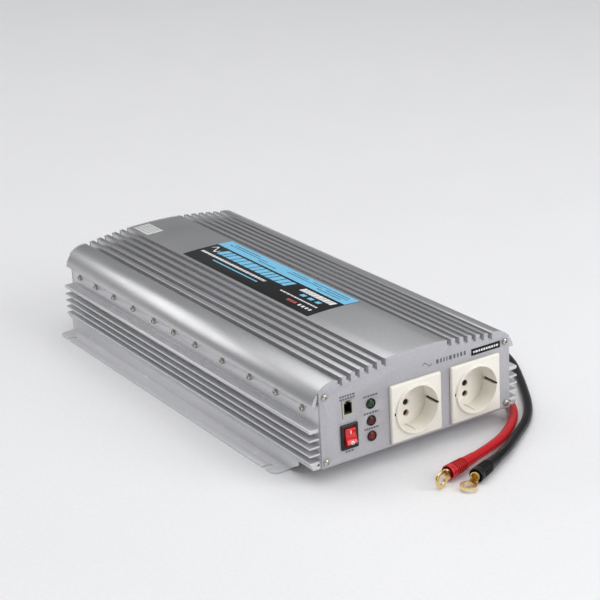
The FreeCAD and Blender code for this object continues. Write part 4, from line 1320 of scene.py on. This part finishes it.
@dataclass
class Print:
    """All that is printed on one surface.

    Attributes:
        name: What it is printed on.
        target: The piece that it lies on.
        frame: The move from the flat print to just outside the surface.
        marks: The rows and signs.
        lift: Thickness of the ink.
    """

    name: str
    target: bpy.types.Object
    frame: Matrix
    marks: Sequence[BarRow | WaveSign]
    lift: float = 0.05 * MM

    def build(self) -> None:
        """Prints each ink as one piece, laid onto the surface."""
        for ink in Ink:
            made = [bar for mark in self.marks if mark.ink is ink for bar in mark.bars(self.name)]
            if not made:
                continue
            sheet = placed(joined(f"{self.name}_{ink.name.lower()}_print", made), self.frame)
            look = (self.frame.to_3x3() @ Facing.UP.vector).normalized()
            axis = max(range(3), key=lambda index: abs(look[index]))
            modified(sheet, "SHRINKWRAP", target=self.target, wrap_method="PROJECT",
                     use_project_x=axis == 0, use_project_y=axis == 1, use_project_z=axis == 2,
                     use_positive_direction=look[axis] < 0, use_negative_direction=look[axis] > 0,
                     offset=0.01 * MM)
            modified(sheet, "SOLIDIFY", thickness=self.lift, offset=1.0)
            dressed(sheet, "label_print", material=ink.material())


def front_frame(above: float = 3.0 * MM) -> Matrix:
    """The move from a flat print to a little ahead of the front panel."""
    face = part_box("front_panel")[0].y
    return looking(Facing.FRONT, Vector((0.0, face - above, 0.0)))


def roof_frame(above: float = 3.0 * MM) -> Matrix:
    """The move from a flat print, whose lines run from rear to front, to above the roof."""
    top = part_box("top_cover")[1].z
    return Matrix.Translation((0.0, 0.0, top + above)) @ Matrix.Rotation(-math.pi / 2, 4, "Z")


# ---------------------------------------------------------------- studio
@dataclass(frozen=True)
class Softbox:
    """A large soft lamp.

    Attributes:
        name: Its name.
        place: Where it stands.
        aim: What it points at.
        size: Width and height.
        power: Watts.
    """

    name: str
    place: Point
    aim: Point
    size: tuple[float, float]
    power: float

    def build(self) -> None:
        """Hangs the lamp."""
        light = bpy.data.lights.new(self.name, "AREA")
        light.shape = "RECTANGLE"
        light.size, light.size_y = self.size
        light.energy = self.power
        lamp = bpy.data.objects.new(self.name, light)
        bpy.context.scene.collection.objects.link(lamp)
        lamp.location = self.place
        lamp.rotation_euler = (Vector(self.aim) - Vector(self.place)).to_track_quat("-Z", "Y").to_euler()
        lamp.visible_camera = False


@dataclass
class Studio:
    """Camera, floor and lamps.

    Attributes:
        aim: What the camera looks at.
        distance: From the aim to the camera.
        azimuth: The camera's angle round the object, in degrees.
        elevation: Its angle above the horizon, in degrees.
        roll: Its tilt, in degrees.
        lens: Focal length in millimetres, on a 36 mm sensor.
    """

    aim: Point = (0.0033, -0.0485, 0.0813)
    distance: float = 1.5
    azimuth: float = -31.84
    elevation: float = 20.51
    roll: float = 3.15
    lens: float = 102.42
    softboxes: tuple[Softbox, ...] = (
        Softbox("shoulder_box", (-1.7, 3.7, 2.1), (-0.05, 0.0, 0.06), (3.0, 1.7), 28.0),
        Softbox("top_box", (0.0, 0.0, 3.0), (0.0, 0.0, 0.0), (4.0, 4.0), 70.0),
        Softbox("front_box", (0.9, -1.8, 1.1), (0.0, -0.15, 0.05), (1.4, 1.4), 22.0),
    )

    def build(self) -> None:
        """Builds the camera, the floor, the lamps and the surroundings."""
        self.camera()
        self.floor()
        for softbox in self.softboxes:
            softbox.build()
        world = bpy.data.worlds.new("studio")
        world.use_nodes = True
        background = world.node_tree.nodes["Background"]
        background.inputs["Color"].default_value = (0.93, 0.94, 0.96, 1.0)
        background.inputs["Strength"].default_value = 0.34
        bpy.context.scene.world = world
        bpy.context.scene.view_settings.view_transform = "Standard"

    def camera(self) -> None:
        """Places the camera."""
        turn, rise = math.radians(self.azimuth), math.radians(self.elevation)
        back = Vector((math.sin(turn) * math.cos(rise), -math.cos(turn) * math.cos(rise), math.sin(rise)))
        data = bpy.data.cameras.new("camera")
        data.lens = self.lens
        data.sensor_width = 36.0
        camera = bpy.data.objects.new("camera", data)
        bpy.context.scene.collection.objects.link(camera)
        look = back.to_track_quat("Z", "Y").to_matrix().to_4x4()
        tilt = Matrix.Rotation(math.radians(-self.roll), 4, "Z")
        camera.matrix_world = Matrix.Translation(Vector(self.aim) + back * self.distance) @ look @ tilt
        bpy.context.scene.camera = camera

    def floor(self) -> None:
        """Lays a plain pale floor."""
        bpy.ops.object.select_all(action="DESELECT")
        bpy.ops.mesh.primitive_plane_add(size=12.0)
        floor = settled("floor")
        finish = Finish("floor", (0.84, 0.84, 0.85), (0.82, 0.82, 0.83), (0.55, 0.65), grain=300.0)
        floor.data.materials.append(finish.material())


# ---------------------------------------------------------------- assembly
RED_ROUTE: tuple[Point, ...] = (
    (46, 455.4, 38), (46, 492, 38), (72, 519, 30), (112, 521, 20), (140, 494, 11),
    (144, 438, 4.6), (137, 354, 4.3), (143, 270, 4.3), (133, 182, 4.3), (131, 100, 4.3),
    (123, 44, 4.3), (104.5, 5, 4.3), (74, -22.5, 5.6), (44, -39.7, 7.6), (13.2, -48, 7.6),
)
BLACK_ROUTE: tuple[Point, ...] = (
    (19, 455.4, 38), (19, 506, 38), (45, 550, 30), (98, 568, 21), (149, 548, 12),
    (178, 501, 5), (175, 420, 4.3), (186, 335, 4.3), (177, 250, 4.3), (184, 170, 4.3),
    (180.5, 106, 4.3), (147, 47, 4.3), (112, -6, 4.3), (71, -35, 5.2), (45.4, -52.6, 6.6), (27, -60.5, 6.6),
)


def in_frame(route: Sequence[Point]) -> list[Point]:
    """A route given in millimetres from the front panel's face, in metres in the part's frame.

    Args:
        route: The route's points.

    Returns:
        The same points in the part's frame.
    """
    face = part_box("front_panel")[0].y
    return [(x * MM, y * MM + face, z * MM) for x, y, z in route]


def roof_marks() -> list[BarRow | WaveSign]:
    """The top label's generic marks; its lines run from the rear to the front."""
    rows: list[BarRow | WaveSign] = []
    sky, white, navy, coral = Ink.SKY, Ink.WHITE, Ink.NAVY, Ink.CORAL
    rows.append(BarRow(sky, -106.0 * MM, 107.3 * MM, 19.0 * MM, 15.9 * MM, (250 * MM, 250 * MM), 1 * MM))
    rows.append(WaveSign(white, -101 * MM, 2 * MM, 15 * MM, 9 * MM, 1, 2.2 * MM))
    rows.append(BarRow(sky, -83 * MM, 35 * MM, 2.5 * MM, 11.5 * MM, (5 * MM, 9.5 * MM), 1.6 * MM, 3.5 * MM))
    rows.append(BarRow(white, -100 * MM, 12 * MM, -9.5 * MM, 3.0 * MM, (1.6 * MM, 5 * MM), 1.0 * MM, 0.8 * MM))
    rows.append(BarRow(sky, -70 * MM, 8 * MM, -15.5 * MM, 1.6 * MM, (60 * MM, 90 * MM), 2.0 * MM))
    rows.append(BarRow(white, 52 * MM, 101 * MM, 4.5 * MM, 6.5 * MM, (3 * MM, 6 * MM), 0.9 * MM, 1.6 * MM))
    rows.append(BarRow(sky, 62 * MM, 99 * MM, -3.5 * MM, 4.0 * MM, (5 * MM, 7 * MM), 5.0 * MM, 1.0 * MM))
    rows.append(BarRow(white, 40 * MM, 98 * MM, -11 * MM, 1.8 * MM, (1.5 * MM, 4 * MM), 0.9 * MM))
    rows.append(BarRow(coral, 62 * MM, 76 * MM, -18 * MM, 3.2 * MM, (3 * MM, 5 * MM), 1.0 * MM))
    rows.append(BarRow(white, 80 * MM, 99 * MM, -18 * MM, 3.2 * MM, (2 * MM, 4 * MM), 2.2 * MM))
    return rows


def roof_strip_marks() -> list[BarRow]:
    """The fine marks on the label's pale strip."""
    navy = Ink.NAVY
    return [
        BarRow(navy, start * MM, end * MM, line * MM, 1.3 * MM, (1.2 * MM, 4.6 * MM), 0.9 * MM)
        for start, end, line in ((-92, -48, 22.6), (-96, -30, 19.2), (-40, -10, 15.6), (8, 34, 22.6),
                                 (4, 60, 19.2), (42, 98, 22.6), (66, 100, 19.2), (58, 94, 15.6))
    ]


def panel_marks() -> list[BarRow | WaveSign]:
    """The front panel's captions, as bars and signs beside what they belong to."""
    slate = Ink.SLATE
    jack_low, jack_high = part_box("remote_jack")
    switch_low, switch_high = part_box("rocker_housing")
    rows: list[BarRow | WaveSign] = []
    for lift in (1.6 * MM, 4.0 * MM):
        rows.append(BarRow(slate, jack_low.x, jack_high.x, jack_high.z - 1.5 * MM + lift, 1.5 * MM,
                           (1.4 * MM, 2.4 * MM), 0.6 * MM))
    rows.append(BarRow(slate, switch_low.x + 4 * MM, switch_high.x - 3 * MM, switch_low.z - 2.4 * MM, 1.5 * MM,
                       (1.4 * MM, 2.4 * MM), 0.7 * MM))
    for name, _ in Lamps.slots:
        low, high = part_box(name + "_lamp")
        middle = (low.x + high.x) / 2
        rows.append(BarRow(slate, middle - 7 * MM, middle + 7 * MM, high.z + 3.4 * MM, 1.6 * MM,
                           (1.2 * MM, 2.2 * MM), 0.6 * MM))
    rows.append(WaveSign(slate, 5 * MM, 75 * MM, 10 * MM, 3.2 * MM, 1, 0.8 * MM))
    rows.append(BarRow(slate, 19 * MM, 49 * MM, 75 * MM, 3.6 * MM, (0.9 * MM, 2.9 * MM), 1.7 * MM))
    return rows


def label_marks() -> list[BarRow]:
    """The small marks on the front label."""
    low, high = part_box("front_label")
    return [BarRow(Ink.WHITE, low.x + 2 * MM, high.x - 2 * MM, (low.z + high.z) / 2, 1.8 * MM,
                   (1.0 * MM, 2.6 * MM), 0.8 * MM)]


def tag_marks() -> list[BarRow]:
    """The small marks on the rear tag, whose lines run from the rear to the front."""
    low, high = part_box("rear_tag")
    return [
        BarRow(Ink.ASH, -high.y + 3 * MM, -low.y - 3 * MM, low.x + offset * MM, 1.2 * MM,
               (1.2 * MM, 3.4 * MM), 0.9 * MM)
        for offset in (4.0, 7.4, 10.8, 14.2)
    ]


def dress_carried_over() -> None:
    """Gives every CAD node that is still shown its detailed finish."""
    for node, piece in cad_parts.items():
        if piece.hide_render:
            continue
        slot = slot_of(node)
        piece.data.materials[0] = FINISHES[slot].material()
        LOG.info("%s carried over, %s", node, slot)


def main() -> None:
    """Builds the studio, the leads, the case and its fittings, and the prints, in that order."""
    logging.basicConfig(level=logging.INFO, format="%(message)s")
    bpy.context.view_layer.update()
    Studio().build()
    Lead("red", in_frame(RED_ROUTE), 0.751, 90.0).build()
    Lead("black", in_frame(BLACK_ROUTE), 0.889, 0.0).build()
    Case().build()
    for node, facing in (("left_side_screws", Facing.LEFT), ("right_side_screws", Facing.RIGHT),
                         ("front_panel_screws", Facing.FRONT), ("rear_panel_screws", Facing.REAR),
                         ("fan_screws", Facing.REAR), ("rail_screws", Facing.DOWN)):
        ScrewSet(node, facing).build()
    for side in ("left", "right"):
        PowerSocket(side).build()
    Switch().build()
    Lamps().build()
    plates = FrontFittings().build()
    RearFittings().build()
    Print("top_label", plates["top_label"], roof_frame(), roof_marks()).build()
    strip = bpy.data.objects["top_label_sky_print"]
    Print("top_strip", strip, roof_frame(), roof_strip_marks()).build()
    Print("front_panel", bpy.data.objects["front_panel_finished"], front_frame(), panel_marks()).build()
    Print("front_label", plates["front_label"], front_frame(), label_marks()).build()
    Print("rear_tag", plates["rear_tag"], roof_frame(), tag_marks()).build()
    dress_carried_over()
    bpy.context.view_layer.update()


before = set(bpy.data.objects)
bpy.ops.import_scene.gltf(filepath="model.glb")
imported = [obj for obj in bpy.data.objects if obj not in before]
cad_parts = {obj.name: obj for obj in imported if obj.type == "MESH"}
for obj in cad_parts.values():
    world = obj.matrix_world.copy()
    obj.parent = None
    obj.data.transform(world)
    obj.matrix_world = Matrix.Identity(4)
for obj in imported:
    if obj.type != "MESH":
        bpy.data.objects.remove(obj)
if __name__ == "__main__":
    main()
